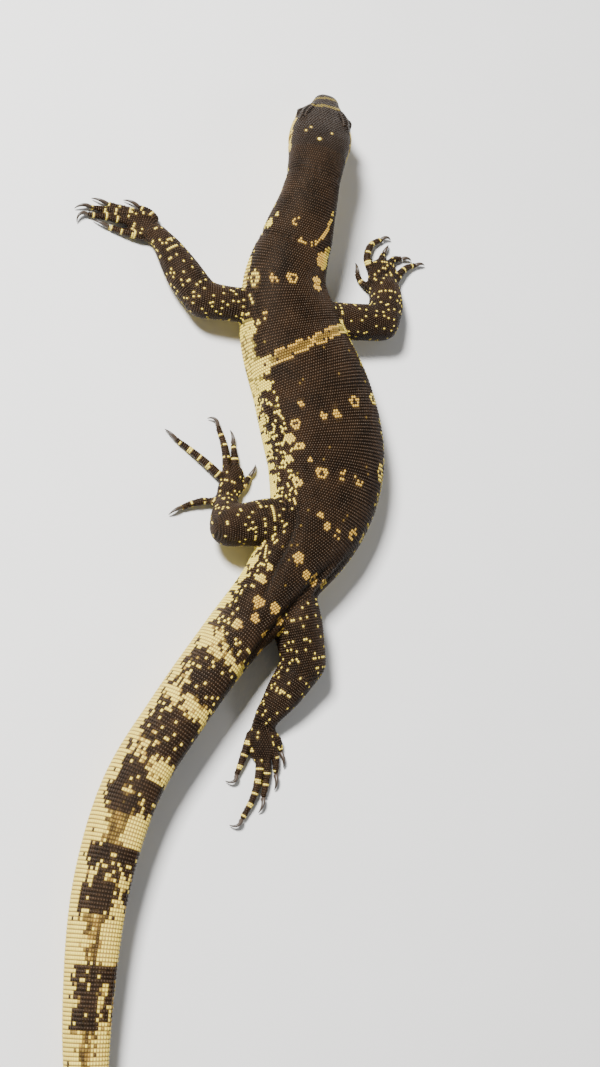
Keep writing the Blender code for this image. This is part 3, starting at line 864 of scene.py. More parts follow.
# %% [markdown]
# ## Rows of scales
#
# A monitor's scales don't overlap. On the back, neck and legs they are small beads in
# cross rows, each row shifted by half a scale. On the belly they are flat oblongs, and on
# the tail they form rings of oblongs, keeled on top. PITCH gives how far apart rows and
# scales are at each place along the body.
#
# The places are worked out with numpy rather than scattered at random, because the order
# of the rows is what makes the skin of a reptile look right.

# %% Pitch of the scales
BEAD, OBLONG, KEELED, PLATE = range(4)

# Distance from the snout, distance between rows, distance between scales in a row
PITCH = np.array([
    (0.000, 0.00050, 0.00052),
    (0.008, 0.00068, 0.00070),
    (0.015, 0.00088, 0.00088),
    (0.022, 0.00082, 0.00080),
    (0.030, 0.00064, 0.00064),
    (0.050, 0.00069, 0.00067),
    (0.070, 0.00077, 0.00073),
    (0.095, 0.00083, 0.00078),
    (0.150, 0.00080, 0.00074),
    (0.168, 0.00080, 0.00068),
    (0.200, 0.00102, 0.00076),
    (0.300, 0.00106, 0.00078),
    (0.360, 0.00095, 0.00062),
    (0.397, 0.00080, 0.00045),
])
FIRST_ROW, TIP_MARGIN = 0.0002, 0.0008
BELLY_START = 0.64
KEEL_REACH = 0.42
ROUND_STEPS = 150
CLOSING_GAP = 0.3  # least gap on the belly line, in scales
LIMB_PITCH = {"upper": (0.00070, 0.00064), "lower": (0.00068, 0.00062), "palm": (0.00062, 0.00060)}
TOE_PITCH = (0.00062, 0.00066)
LIMB_START = 0.6  # how far a limb's first row lies before its first joint, in radii
LIMB_OVERHANG = 0.9  # how far its last row lies beyond the last joint, in radii
TOE_OVERHANG = 0.0004
FEWEST_IN_ROW = 4
BODY = "body"

print(len(PITCH), "places with a given pitch")

# %% [markdown]
# ### Drafting the rows
#
# A row is a line round the body or a limb, cut into equal steps. Each place keeps what is
# needed later: where it is, which way its scale lies, and its share, which is 0 on the back
# and grows to 1 on the right or falls to -1 on the left where the belly's middle is.

# %% Places and rows
class Places:
    """Where scales may grow: a record of equal arrays, one entry for each scale."""

    def __init__(self):
        self.blocks = []

    def add(self, part, point, lie, size, kind, along, share, half, row=0):
        """Adds the scales of one row."""
        count = len(point)
        self.blocks.append(dict(
            point=point, lie=np.broadcast_to(lie, (count, 3)), size=np.broadcast_to(size, (count, 2)),
            kind=np.broadcast_to(kind, count), part=np.full(count, part, dtype=object),
            along=np.broadcast_to(along, count), share=np.broadcast_to(share, count),
            half=np.full(count, half), row=np.full(count, row)))

    def joined(self):
        """All rows as one record."""
        return {key: np.concatenate([b[key] for b in self.blocks]) for key in self.blocks[0]}


def body_rows():
    """Distances of the rows along the body."""
    rows = [FIRST_ROW]
    while rows[-1] < TAIL_TIP - TIP_MARGIN:
        rows.append(rows[-1] + np.interp(rows[-1], PITCH[:, 0], PITCH[:, 1]))
    return np.array(rows)


def kind_on_body(distance, share):
    """Sort of scale at places round the body."""
    if distance < HEAD_END:
        return np.full(len(share), PLATE)
    if distance > TAIL_START:
        return np.where(np.abs(share) < KEEL_REACH, KEELED, OBLONG)
    belly = (np.abs(share) > BELLY_START) & (distance >= NECK_END)
    return np.where(belly, OBLONG, BEAD)


def lay_body(places):
    """Rows of scales round the trunk from the snout to the tip of the tail."""
    for number, distance in enumerate(body_rows()):
        along, around = (np.interp(distance, PITCH[:, 0], PITCH[:, k]) for k in (1, 2))
        lie = spine_frames(np.array([distance]))[1]
        shifted = number % 2 or distance > TAIL_START
        for side in (1, -1):
            angle = math.pi / 2 - side * np.linspace(0, math.pi, ROUND_STEPS)
            line = body_points(np.full(ROUND_STEPS, distance), angle)
            reach = lengths_along(line)
            offset = 0.5 if shifted else (0.0 if side == 1 else 1.0)
            arc = (np.arange(int(reach[-1] / around)) + offset) * around
            arc = arc[arc < reach[-1] - CLOSING_GAP * around]
            if len(arc):
                share = side * arc / reach[-1]
                places.add(BODY, points_at(arc, reach, line), lie, (around, along),
                           kind_on_body(distance, share), distance, share, reach[-1], number)


def lay_limb(places, name, part, centres, radii, flat):
    """Rows of scales round one length of limb."""
    along, around = LIMB_PITCH.get(part, TOE_PITCH)
    total = length_of(centres)
    kind, tip = (OBLONG, TOE_OVERHANG) if part.startswith("toe") else (BEAD, radii[-1] * LIMB_OVERHANG)
    stations = np.arange(-radii[0] * LIMB_START, total + tip, along)
    middle, forward, right, up, radius = chain(centres, radii, stations)
    beyond = stations - np.clip(stations, 0, total)
    girth = np.maximum(radius ** 2 - beyond ** 2, 1e-9) ** 0.5 - COAT
    for number in range(len(stations)):
        round_length = girth[number] * 2 * math.pi * (1 + flat) / 2
        count = int(round_length / around)
        if count < FEWEST_IN_ROW:
            continue
        share = (np.arange(count) + 0.5 * (number % 2)) / count
        angle = math.pi / 2 - 2 * math.pi * share
        spoke = np.outer(np.cos(angle), right[number]) + flat * np.outer(np.sin(angle), up[number])
        point = middle[number] + beyond[number] * forward[number] + girth[number] * spoke
        point[:, 2] = np.maximum(point[:, 2], COAT)
        signed = np.where(share > 0.5, share - 1, share) * 2
        places.add(f"{name} {part}", point, forward[number], (around, along), kind,
                   stations[number], signed, round_length / 2, number)


print(len(body_rows()), "rows round the body")

# %% [markdown]
# ### Small scales of the head
#
# The eye, the ear and the nostril are each ringed by granules, two rows of plates run along
# the brow, and the lips carry a row of oblong scales above and below the mouth. These are
# drafted first, because a place that comes earlier keeps its ground where two would touch.

# %% Rings and lip scales
RING_GRAIN = 0.00040
RING_BULGE = (0.0032, 0.0027)  # half length and half height of the swell that rings lie on
LEAST_BULGE = 0.05
LID_RINGS = ((0.0019, 0.0014), (0.0023, 0.0018), (0.0027, 0.0022), (0.0031, 0.0026),
             (0.0035, 0.0030), (0.0039, 0.0034))
EAR_RINGS = ((0.0016, 0.0023), (0.0020, 0.0027))
NOSTRIL_RINGS = ((0.0011, 0.0008),)
LIP_ROWS = (0.00055, -0.00055)
LIP_PITCH = 0.00088
LIP_WIDTH = 0.00072
LIP_SHARE, LIP_SHARE_STEP = 0.50, 0.03  # share at the mouth's line, and up or down from it
LIP_POINTS, MOUTH_POINTS = 40, 100
BROW_PLATES = np.arange(0.0098, 0.0186, 0.00105)
BROW_SHARE = 0.20
BROW_PLATE = (0.00135, 0.00100)
BROW_EDGE_SHARE = 0.247
BROW_EDGE_PLATE = (0.00095, 0.00100)
CROWN_PLATE = (0.0288, -0.015, 0.00125)
HEAD_HALF = 0.030  # half girth of the head, near enough for its markings

# What stays free of scales: centre, half length and half height
HOLES = ((EYE_PLACE, 0.0018, 0.0013), (EAR_PLACE, 0.0014, 0.0021), (NOSTRIL_PLACE, 0.0010, 0.0007))
HOLE_SIDE = 0.6
MOUTH_CORNER = 0.023
MOUTH_CLEAR = 0.00036


def lay_ring(places, centre, reach, side):
    """A ring of granules round an opening on the side of the head."""
    count = int(math.pi * (reach[0] + reach[1]) / RING_GRAIN)
    turn = round_angles(count)
    dx, dz = reach[0] * np.cos(turn), reach[1] * np.sin(turn)
    bulge = 1 - (dx / RING_BULGE[0]) ** 2 - (dz / RING_BULGE[1]) ** 2
    dy = LID_SIZE[1] * np.sqrt(np.maximum(LEAST_BULGE, bulge))
    point = np.array([in_head((centre[0] + x, side * (centre[1] + y), centre[2] + z))
                      for x, y, z in zip(dx, dy, dz)])
    lie = unit(np.roll(point, -1, axis=0) - np.roll(point, 1, axis=0))
    share = side * np.arctan2(centre[1], centre[2] + dz) / math.pi
    places.add(BODY, point, lie, (RING_GRAIN, RING_GRAIN), BEAD, centre[0], share, HEAD_HALF)


def lay_plate(places, distance, share, size):
    """One plate on top of the head, given by its distance from the snout and its share."""
    angle = math.pi / 2 - share * math.pi
    point = body_points(np.array([distance]), np.array([angle]))
    lie = spine_frames(np.array([distance]))[1]
    places.add(BODY, point, lie, size, PLATE, distance, share, HEAD_HALF)


def lay_lips(places):
    """A row of oblong scales over the mouth, and one under it."""
    line = mouth_line(np.linspace(*MOUTH_SPAN, LIP_POINTS), 0)
    knots = lengths_along(line)
    at = np.arange(0.5 * LIP_PITCH, knots[-1], LIP_PITCH)
    point = points_at(at, knots, line)
    lie = unit(np.gradient(point, axis=0))
    distance = EYE_PLACE[0] + (point - HEAD_AT) @ HEAD_BACK
    side = np.sign((point - HEAD_AT) @ HEAD_RIGHT)
    for rise in LIP_ROWS:
        share = side * (LIP_SHARE - LIP_SHARE_STEP * np.sign(rise))
        places.add(BODY, point + rise * HEAD_UP, lie, (LIP_WIDTH, LIP_PITCH), OBLONG, distance, share,
                   HEAD_HALF)


def lay_head(places):
    """Large plates, rings round the openings of the head, and the scales of the lips."""
    lay_plate(places, *CROWN_PLATE[:2], (CROWN_PLATE[2], CROWN_PLATE[2]))
    openings_of_head = ((EYE_PLACE, LID_RINGS), (EAR_PLACE, EAR_RINGS), (NOSTRIL_PLACE, NOSTRIL_RINGS))
    for side in SIDES.values():
        for distance in BROW_PLATES:
            lay_plate(places, distance, side * BROW_SHARE, BROW_PLATE)
            lay_plate(places, distance, side * BROW_EDGE_SHARE, BROW_EDGE_PLATE)
        for centre, rings in openings_of_head:
            for reach in rings:
                lay_ring(places, centre, reach, side)
    lay_lips(places)


def clear_of_openings(scales):
    """False for scales that would hang in an eye, ear or nostril or in the mouth's line."""
    keep = np.ones(len(scales["point"]), bool)
    away = scales["point"] - HEAD_AT
    x, y, z = EYE_PLACE[0] + away @ HEAD_BACK, away @ HEAD_RIGHT, away @ HEAD_UP
    for centre, wide, tall in HOLES:
        level = ((x - centre[0]) / wide) ** 2 + ((z - centre[2]) / tall) ** 2
        keep &= (level > 1) | (np.abs(y) < HOLE_SIDE * centre[1])
    line = tree_of(mouth_line(np.linspace(*MOUTH_SPAN, MOUTH_POINTS), 0))
    for i in np.nonzero(x < MOUTH_CORNER)[0]:
        keep[i] &= line.find(scales["point"][i])[2] > MOUTH_CLEAR
    return keep


drafted = Places()
lay_head(drafted)
lay_body(drafted)
for limb in LIMBS:
    lay_limb(drafted, *limb)
scales = drafted.joined()
print(len(scales["point"]), "places drafted")

# %% [markdown]
# ### Setting the scales on the skin
#
# The rows were drawn on the plain tubes. Each place is now moved to the nearest point of
# the finished skin, with its folds and soft shoulders. Places buried inside a neighbouring
# limb are dropped, and so are those that crowd another one where two tubes meet.

# %% Set the places on the skin
BURIED = 0.0011  # farthest that a place may be from the skin
HEAD_BURIED = 0.0026  # the same on the head, whose brow and lids stand out
CROWDED = 0.74  # nearest that two scales may be, in scales


def picked(scales, keep):
    """The chosen entries of the record."""
    return {key: values[keep] for key, values in scales.items()}


def surface_of(mesh):
    """Tree over the mesh's triangles, and the mean normal at each triangle."""
    corners = numbers_of(mesh.loop_triangles, "vertices", 3, np.int32)
    tree = BVHTree.FromPolygons(points_of(mesh).tolist(), corners.tolist())
    return tree, unit(normals_of(mesh)[corners].mean(axis=1))


def settle(scales, tree, face_normals):
    """Moves the places to the skin and keeps those that are on its outside."""
    found = [tree.find_nearest(point) for point in scales["point"]]
    place = np.array([hit[0] for hit in found])
    normal = face_normals[np.array([hit[2] for hit in found])]
    depth = np.einsum("ij,ij->i", place - scales["point"], normal)
    on_head = (scales["part"] == BODY) & (scales["along"] < HEAD_END)
    keep = np.abs(depth) < np.where(on_head, HEAD_BURIED, BURIED)
    return picked({**scales, "point": place, "normal": normal}, keep)


def uncrowded(scales):
    """Which places are far enough from all places before them."""
    tree = tree_of(scales["point"])
    keep = np.ones(len(scales["point"]), bool)
    reach = CROWDED * scales["size"].min(axis=1)
    for i, point in enumerate(scales["point"]):
        if keep[i]:
            for _, other, _ in tree.find_range(point, reach[i]):
                if other > i:
                    keep[other] = False
    return keep


skin_tree, skin_face_normals = surface_of(skin_mesh)
scales = settle(scales, skin_tree, skin_face_normals)
scales = picked(scales, clear_of_openings(scales))
scales = picked(scales, uncrowded(scales))
print(len(scales["point"]), "scales on the skin")
print({part: int(np.sum(scales["part"] == part)) for part in sorted(set(scales["part"]))})

# %% [markdown]
# ## Markings
#
# Each scale has one colour, dark or pale, so the pattern is decided scale by scale. What a
# keeper would call the markings is written down here as a design: spots and rings in cross
# rows over the back, bars on the shoulders, a pale belly with a broken edge, bands on the
# tail, and single pale scales on the legs. PALE says how pale a scale is, and WARM how much
# of that is gold and not cream. Irregular edges come from smooth noise.

# %% Spots, bars and bands
SPOT, RING, SPECKS = range(3)

# Spots of the back: distance in mm, share, radius in mm and style
SPOTS = [
    (55.0, -0.41, 1.5, SPOT), (52.0, -0.35, 0.7, SPOT), (52.5, -0.12, 1.2, SPECKS),
    (60.5, 0.27, 2.6, SPOT), (57.8, 0.33, 1.7, SPOT), (68.5, 0.20, 1.8, SPOT), (71.3, 0.19, 1.6, SPOT),
    (66.8, -0.53, 2.2, SPOT), (70.5, -0.53, 2.0, SPOT),
    (69.9, -0.37, 1.7, RING), (69.2, -0.04, 1.7, RING), (70.0, -0.20, 1.3, SPECKS),
    (75.0, -0.42, 1.6, SPECKS), (80.5, -0.36, 1.5, SPECKS), (79.0, -0.28, 1.0, SPECKS),
    (92.0, -0.36, 2.1, RING), (97.9, -0.38, 1.4, SPOT),
    (112.8, -0.26, 1.6, RING), (107.5, -0.20, 0.8, SPOT), (112.0, -0.08, 1.1, SPOT),
    (112.0, 0.01, 1.3, SPOT), (109.2, 0.16, 1.7, RING), (108.2, 0.36, 1.8, RING),
    (117.3, -0.32, 1.6, SPOT), (121.0, -0.27, 1.5, RING), (126.0, -0.35, 1.3, SPOT),
    (126.4, -0.21, 0.7, SPOT), (130.2, -0.13, 1.8, RING), (129.4, 0.01, 1.5, SPECKS),
    (129.4, 0.14, 1.6, SPECKS), (125.7, 0.34, 1.8, RING), (134.5, -0.30, 1.5, RING),
    (143.2, -0.10, 0.9, SPOT), (145.1, -0.02, 1.0, SPOT), (145.1, 0.09, 1.4, SPECKS),
    (142.6, 0.22, 1.5, SPECKS), (141.0, 0.38, 1.5, SPECKS),
    (157.6, -0.11, 1.5, SPOT), (159.6, 0.03, 1.5, SPOT), (158.6, 0.14, 1.6, RING),
    (156.4, 0.28, 1.5, SPOT), (172.6, -0.05, 1.5, SPOT), (172.9, 0.12, 1.3, SPOT),
    (174.2, -0.22, 1.7, SPOT), (174.0, 0.28, 1.6, SPOT), (178.5, -0.16, 1.3, SPOT),
    (179.5, 0.05, 1.2, SPOT), (168.5, -0.31, 1.4, SPOT), (164.0, -0.30, 1.2, SPOT),
    (182.6, -0.28, 1.4, SPOT), (183.0, 0.22, 1.4, SPOT), (166.0, 0.34, 1.5, SPOT),
]

# Bars: line of (distance, share) and half width in mm
BARS = [
    ([(91.6, -0.29), (91.0, -0.15), (90.0, -0.03)], 1.9),
    ([(89.8, 0.06), (88.6, 0.16), (87.0, 0.34)], 2.0),
    ([(57.6, -0.02), (58.0, 0.07), (55.8, 0.17), (52.5, 0.24), (47.0, 0.31)], 0.55),
    ([(25.9, -0.20), (24.6, -0.15)], 0.42),
    ([(25.6, 0.12), (23.4, 0.15)], 0.48),
]

# How pale the tail is, from -1 to 1: distance in mm, then at the back, the side and below it
TAIL = np.array([
    (180, -0.9, -0.7, -0.2), (186, -0.9, -0.5, 0.0), (189, -0.5, 0.5, 0.6), (192.5, 0.6, 0.1, 0.2),
    (196, -0.9, -0.7, -0.3), (201, -1.0, -0.5, 0.1), (204, -0.9, -0.6, 0.1), (207, 0.1, 0.4, 0.6),
    (210, 0.6, 0.1, 0.0), (213, -0.9, -0.7, -0.3), (218, -1.0, -0.8, -0.7), (222, -0.7, -0.4, -0.2),
    (226, 0.0, 0.0, 0.3), (229, 0.7, -0.4, -0.2), (232, -0.8, -0.9, -0.7), (236, -0.8, -0.1, 0.0),
    (239, -0.4, -0.8, -0.5), (242, 0.9, -0.8, 0.8), (249.5, 1.0, -0.6, 0.9), (251, -1.0, -1.0, -0.4),
    (256, -0.4, -1.0, -0.5), (259, 0.1, 0.1, 0.1), (262, -0.5, -1.0, -0.6), (266, 0.2, -1.0, -0.3),
    (269, 0.7, -0.5, 0.3), (271, 1.0, -0.6, 0.8), (275, 1.0, -0.8, 0.9), (279.5, 1.0, -0.5, 0.9),
    (281, -1.0, -1.0, -0.4), (286, 0.1, -1.0, -0.2), (291, -0.3, -1.0, -0.1), (296, 0.3, -1.0, -0.5),
    (298, 0.9, -0.7, 0.4), (303, 1.0, -0.7, 1.0), (308, 1.0, -0.4, 0.9), (310, -1.0, -1.0, -0.4),
    (316, 0.0, -1.0, -0.3), (322, -0.3, -1.0, -0.3), (324, 1.0, 0.0, 1.0), (333, 1.0, 0.1, 1.0),
    (335, -1.0, -1.0, -0.5), (346, -0.8, -1.0, -0.6), (348, 1.0, 0.2, 1.0), (356, 1.0, 0.3, 1.0),
    (358, -1.0, -1.0, -1.0), (368, -1.0, -1.0, -1.0), (370, 1.0, 0.8, 1.0), (377, 1.0, 0.8, 1.0),
    (379, -1.0, -1.0, -1.0), (389, -1.0, -1.0, -1.0), (391, 1.0, 1.0, 1.0),
])

print(len(SPOTS), "spots,", len(BARS), "bars and", len(TAIL), "zones of the tail")

# %% [markdown]
# ### Noise and chance
#
# Smooth noise makes the edge of a marking wander, and chance leaves out single scales. Each
# use has a seed of its own, so that no two patterns repeat each other and every run of this
# file gives the same animal.

# %% Noise and chance
NOISE_GAIN = 1.6  # brings the noise to about -1 to 1
NOISE_SHIFT = np.array([7.3, 3.1, 5.7])
STREAK_SHIFT = 4.7


def rough(scales, size, seed):
    """Smooth noise between about -1 and 1 at the scales, with features of this size."""
    shift = Vector(seed * NOISE_SHIFT)
    return np.array([noise.noise(Vector(p) / size + shift) for p in scales["point"]]) * NOISE_GAIN


def streaks(scales, long, wide, seed):
    """Smooth noise stretched along the body, in features this long and wide in mm."""
    along = scales["along"] / MM / long
    across = scales["share"] * scales["half"] / MM / wide
    places = zip(along, across)
    return np.array([noise.noise(Vector((a, b, seed * STREAK_SHIFT))) for a, b in places]) * NOISE_GAIN


def chance(scales, seed):
    """An even random number between 0 and 1 for each scale."""
    return np.random.default_rng(seed).random(len(scales["point"]))


def apart(scales, distance, share):
    """How far in mm each scale is from a place on the body, measured over the skin."""
    along = scales["along"] / MM - distance
    across = (scales["share"] - share) * scales["half"] / MM
    return np.hypot(along, across)


print("noise and chance for", len(scales["point"]), "scales")

# %% [markdown]
# ### Back and flanks
#
# Spots, rings and bars are laid where the design has them. On the flank the pale belly
# climbs up to a broken edge, crossed by dark bars and a net of fine dark lines.

# %% Markings of the back and the flanks
RING_HOLLOW = 0.42
SPECK_CHANCE = 0.55
BAR_CHANCE = 0.88
BAR_POINTS = 30
BAR_RIM, BAR_CORE_PALE = 0.55, 0.30

# Edge of the pale belly: distance in mm and share
BELLY_EDGE = np.array([(30, 0.56), (60, 0.55), (80, 0.47), (92, 0.41), (110, 0.40), (138, 0.37),
                       (160, 0.40), (185, 0.44)])
RIGHT_LOWER = 0.05  # how much lower the edge is on the right
BELLY_STEP = (0.05, 0.11)  # share past the edge over which the belly turns pale
BROAD_WANDER, FINE_WANDER = 0.022, 0.014  # how far noise moves the edge, as a share

# Dark bars over the belly are the crests of a wave along the body, which noise bends. The
# crests are cut lower, and so are broader, near the edge than well inside the belly
FLANK_BAR, BAR_BEND = 4.6, 2.0
INSIDE_BELLY, BAR_INSIDE, BAR_OUTSIDE = 0.14, 0.80, 0.35
BAR_END, BAR_BREAK = 0.90, -0.45

# The net above the edge: where it starts, chance of a pale scale, and what its lines add
NET_STEP = (-0.12, -0.03)
NET_CHANCE, NET_LINE_CHANCE, NET_LINE = 0.20, 0.25, 0.2

# The pale patch at the armpit, in mm and share, with fine darker lines
ARMPIT_FROM, ARMPIT_TO, ARMPIT_SHARE, ARMPIT_WANDER = 79, 99, 0.385, 0.03
ARMPIT_BROAD, ARMPIT_LINE, ARMPIT_LINE_PALE, ARMPIT_PALE = 0.4, 0.16, 0.25, 0.95


def spotted(scales):
    """Pale where a spot, a ring or a bar lies."""
    pale = np.zeros(len(scales["point"]))
    luck = chance(scales, seed=11)
    for distance, share, radius, style in SPOTS:
        away = apart(scales, distance, share)
        if style == SPOT:
            pale = np.maximum(pale, away < radius)
        elif style == RING:
            pale = np.maximum(pale, (away < radius) & (away > RING_HOLLOW * radius))
        else:
            pale = np.maximum(pale, (away < radius) & (luck < SPECK_CHANCE))
    for line, width in BARS:
        line = np.array(line)
        knots = np.linspace(0, 1, len(line))
        fine = np.linspace(0, 1, BAR_POINTS)
        course = smooth(knots, line, fine) if len(line) > 2 else line
        away = np.min([apart(scales, *place) for place in course], axis=0)
        rim = np.where(away > BAR_RIM * width, 1.0, BAR_CORE_PALE) if width > 1 else 1.0
        pale = np.maximum(pale, rim * ((away < width) & (luck < BAR_CHANCE)))
    return pale


def flank(scales):
    """Pale belly and the net of dark lines between it and the back."""
    distance = scales["along"] / MM
    reach = np.abs(scales["share"])
    edge = np.interp(distance, *BELLY_EDGE.T) + np.where(scales["share"] > 0, RIGHT_LOWER, 0)
    fine = streaks(scales, long=1.3, wide=2.4, seed=1)
    broad = streaks(scales, long=3.4, wide=3.4, seed=2)
    bars = np.sin(distance / FLANK_BAR * 2 * math.pi + BAR_BEND * broad)
    belly = step_up(*BELLY_STEP, reach - edge + BROAD_WANDER * broad + FINE_WANDER * fine)
    net_chance = NET_CHANCE + NET_LINE_CHANCE * (np.abs(fine) < NET_LINE)
    net = step_up(*NET_STEP, reach - edge) * (chance(scales, seed=13) < net_chance)
    least = np.where(reach > edge + INSIDE_BELLY, BAR_INSIDE, BAR_OUTSIDE)
    dark_bar = (bars > least) & (reach < BAR_END) & (fine > BAR_BREAK)
    pale = np.where(dark_bar, 0, np.maximum(belly > 0.5, net > 0.5)).astype(float)
    armpit = (distance > ARMPIT_FROM) & (distance < ARMPIT_TO)
    armpit &= reach > ARMPIT_SHARE + ARMPIT_WANDER * fine
    on_line = np.abs(fine + ARMPIT_BROAD * broad) < ARMPIT_LINE
    return np.where(armpit, np.where(on_line, ARMPIT_LINE_PALE, ARMPIT_PALE), pale)


print("belly edge given at", len(BELLY_EDGE), "distances")

# %% [markdown]
# ### Tail, legs and head
#
# The tail's bands are read from the table at three heights and blurred into each other. On
# the legs single pale scales stand in every fourth row. The head has faint bars over the
# snout, pale lips and throat, and a pale streak behind the eye.

# %% Markings of the tail, the legs and the head
# The tail: shares of the table's heights, and the noise that bends bands and edges
TAIL_SHARES = (0.13, 0.36, 0.55)
TAIL_BLUR = 0.20
TAIL_EDGE = np.array([(180, 0.61), (240, 0.61), (300, 0.60)])
TAIL_STEP = (-0.10, 0.14)
BAND_WANDER, TAIL_WANDER, TAIL_CHANCE = 0.8, 0.50, 0.35
UNDER_LONG, UNDER_FINE = 0.06, 0.03
SPECK_DEPTH, SPECK_LEAST, FLECK_LEAST = 0.10, 0.62, 0.66

# Where the pale bands are dusky on the tail's side, and how pale they are there
DUSK_FROM, DUSK_BAND, DUSK_SIDE, DUSK_LIGHT = 238, 0.5, 0.10, 0.6
DUSK_MEAN, DUSK_WANDER, DUSK_RANGE = 0.30, 0.45, (0.06, 0.65)

# The legs: every fourth row is dotted, and each toe's bands start at a place of its own
DOT_ROWS, DOT_ROW = 4, 1
DOT_CHANCE, STRAY_CHANCE, PALM_CHANCE, TOE_CHANCE = 0.22, 0.025, 0.05, 0.85
DOT_WANDER = 0.12
UNDERSIDE, UNDERSIDE_CHANCE = (0.72, 0.90), 0.8
TOE_BAND, TOE_BAND_LEAST, TOE_PHASES = 3.4, 0.76, 7

# The head
SNOUT_BARS = ((4.4, 0.7), (10.3, 0.8))  # distance and half width in mm
SNOUT_SLANT, SNOUT_REACH = 2.6, 0.38
LIP_FROM, LIP_TO, LIP_BAR, LIP_BAR_LEAST = 0.44, 0.60, 3.1, -0.25
STREAK_FROM, STREAK_SHARE, STREAK_DROP, STREAK_HALF = 17, 0.40, 0.004, 0.028
FAINT, STRONG = 0.22, 0.9


def banded(scales):
    """Rows of blotches, then bands, and the pale underside of the tail."""
    distance = scales["along"] / MM
    reach = np.abs(scales["share"])
    fine = streaks(scales, long=1.5, wide=1.1, seed=3)
    long = streaks(scales, long=3.5, wide=1.3, seed=4)
    place = distance + BAND_WANDER * streaks(scales, long=4, wide=5, seed=9)
    zones = [np.interp(place, TAIL[:, 0], TAIL[:, k]) for k in (1, 2, 3)]
    near = [np.clip(1 - np.abs(reach - share) / TAIL_BLUR, 0, 1) for share in TAIL_SHARES]
    near[0] = np.where(reach < TAIL_SHARES[0], 1, near[0])
    near[2] = np.where(reach > TAIL_SHARES[2], 1, near[2])
    value = sum(z * n for z, n in zip(zones, near)) / sum(near)
    light = value + TAIL_WANDER * fine + TAIL_WANDER * long
    light = step_up(*TAIL_STEP, light + TAIL_CHANCE * (chance(scales, seed=12) - 0.5))
    edge = np.interp(distance, *TAIL_EDGE.T)
    under = reach + UNDER_LONG * long + UNDER_FINE * fine > edge
    speck = streaks(scales, long=2.2, wide=1.4, seed=14) > SPECK_LEAST
    speck &= reach < edge + SPECK_DEPTH
    fleck = streaks(scales, long=1.1, wide=1.0, seed=17) > FLECK_LEAST
    dusk = (distance > DUSK_FROM) & (zones[0] > DUSK_BAND) & (near[1] > DUSK_SIDE)
    dusk &= light < DUSK_LIGHT
    light = np.where(dusk, np.clip(DUSK_MEAN + DUSK_WANDER * long, *DUSK_RANGE), light)
    return np.where(under, ~speck, np.maximum(light, fleck)).astype(float)


def dotted(scales):
    """Single pale scales in loose cross rows on the legs, and bands on the toes."""
    luck = chance(scales, seed=5)
    row_chance = DOT_CHANCE + DOT_WANDER * rough(scales, size=0.004, seed=6)
    in_row = scales["row"] % DOT_ROWS == DOT_ROW
    below = step_up(*UNDERSIDE, np.abs(scales["share"]))
    pale = (luck < np.where(in_row, row_chance, STRAY_CHANCE)).astype(float)
    pale = np.maximum(pale, luck < UNDERSIDE_CHANCE * below)
    part = scales["part"].astype(str)
    phase = np.array([sum(map(ord, word)) % TOE_PHASES for word in part])
    band = np.sin(scales["along"] / MM / TOE_BAND * 2 * math.pi + phase) > TOE_BAND_LEAST
    pale = np.where(np.char.find(part, "toe") >= 0, band & (luck < TOE_CHANCE), pale)
    return np.where(np.char.find(part, "palm") >= 0, np.maximum(pale, luck < PALM_CHANCE), pale)


def head_marks(scales):
    """Pale bars over the snout and on the lips, and a streak behind the eye."""
    distance = scales["along"] / MM
    reach = np.abs(scales["share"])
    slant = distance + SNOUT_SLANT * scales["share"]
    near_bar = np.any([np.abs(slant - middle) < half for middle, half in SNOUT_BARS], axis=0)
    bars = near_bar & (reach < SNOUT_REACH)
    lip = (reach > LIP_FROM) & (reach < LIP_TO)
    lips = lip & (np.sin(distance / LIP_BAR * 2 * math.pi) > LIP_BAR_LEAST)
    line = STREAK_SHARE + STREAK_DROP * (distance - STREAK_FROM)
    streak = (np.abs(reach - line) < STREAK_HALF) & (distance > STREAK_FROM)
    marks = [FAINT * bars, STRONG * lips, reach > LIP_TO, STRONG * streak]
    return np.maximum.reduce(marks).astype(float)


print(len(SNOUT_BARS), "bars over the snout")

# %% [markdown]
# ### All the markings together
#
# Each region takes its own marking. WARM turns gold to cream from the back down to the
# belly. TONE, a slow unevenness with a little chance, later makes some dark scales look
# worn and some pale ones dusty.

# %% Pale, warm and tone of every scale
TAIL_MARKS_FROM, BACK_MARKS_TO, HEAD_MARKS_TO = 186, 190, 31  # in mm
CROWN_REACH = 0.3
FLECK_FROM, FLECK_TO, FLECK_REACH = 78, 180, 0.06
FLECK_CHANCE, FLECK_PALE = 0.008, 0.22
GOLD_TO, CREAM_FROM = 0.22, 0.40  # share up to which scales are gold, and from which cream
LEG_WARM, HEAD_WARM, TAIL_DUSK_WARM, TAIL_WARM = 0.10, 0.35, 0.9, 0.25
DUSK_TO = 0.7
WARM_WANDER = 0.12
TONE_MEAN, TONE_SLOW, TONE_CHANCE = 0.42, 0.30, 0.45
HEAD_TONE = 0.35


def how_pale(scales, crown):
    """How pale each scale is."""
    distance = scales["along"] / MM
    on_body = scales["part"] == BODY
    spots = spotted(scales)
    pale = np.maximum(spots, flank(scales))
    on_tail = distance > TAIL_MARKS_FROM
    pale = np.where(on_tail, np.maximum(banded(scales), pale * (distance < BACK_MARKS_TO)), pale)
    pale = np.where(distance < HEAD_MARKS_TO, np.maximum(head_marks(scales), spots), pale)
    pale = np.where(crown, 1.0, pale)
    pale = np.where(on_body, pale, dotted(scales))
    on_back = on_body & (distance > FLECK_FROM) & (distance < FLECK_TO)
    fleck = on_back & (np.abs(scales["share"]) > FLECK_REACH) & (chance(scales, seed=15) < FLECK_CHANCE)
    return np.where(fleck, np.maximum(pale, FLECK_PALE), pale)


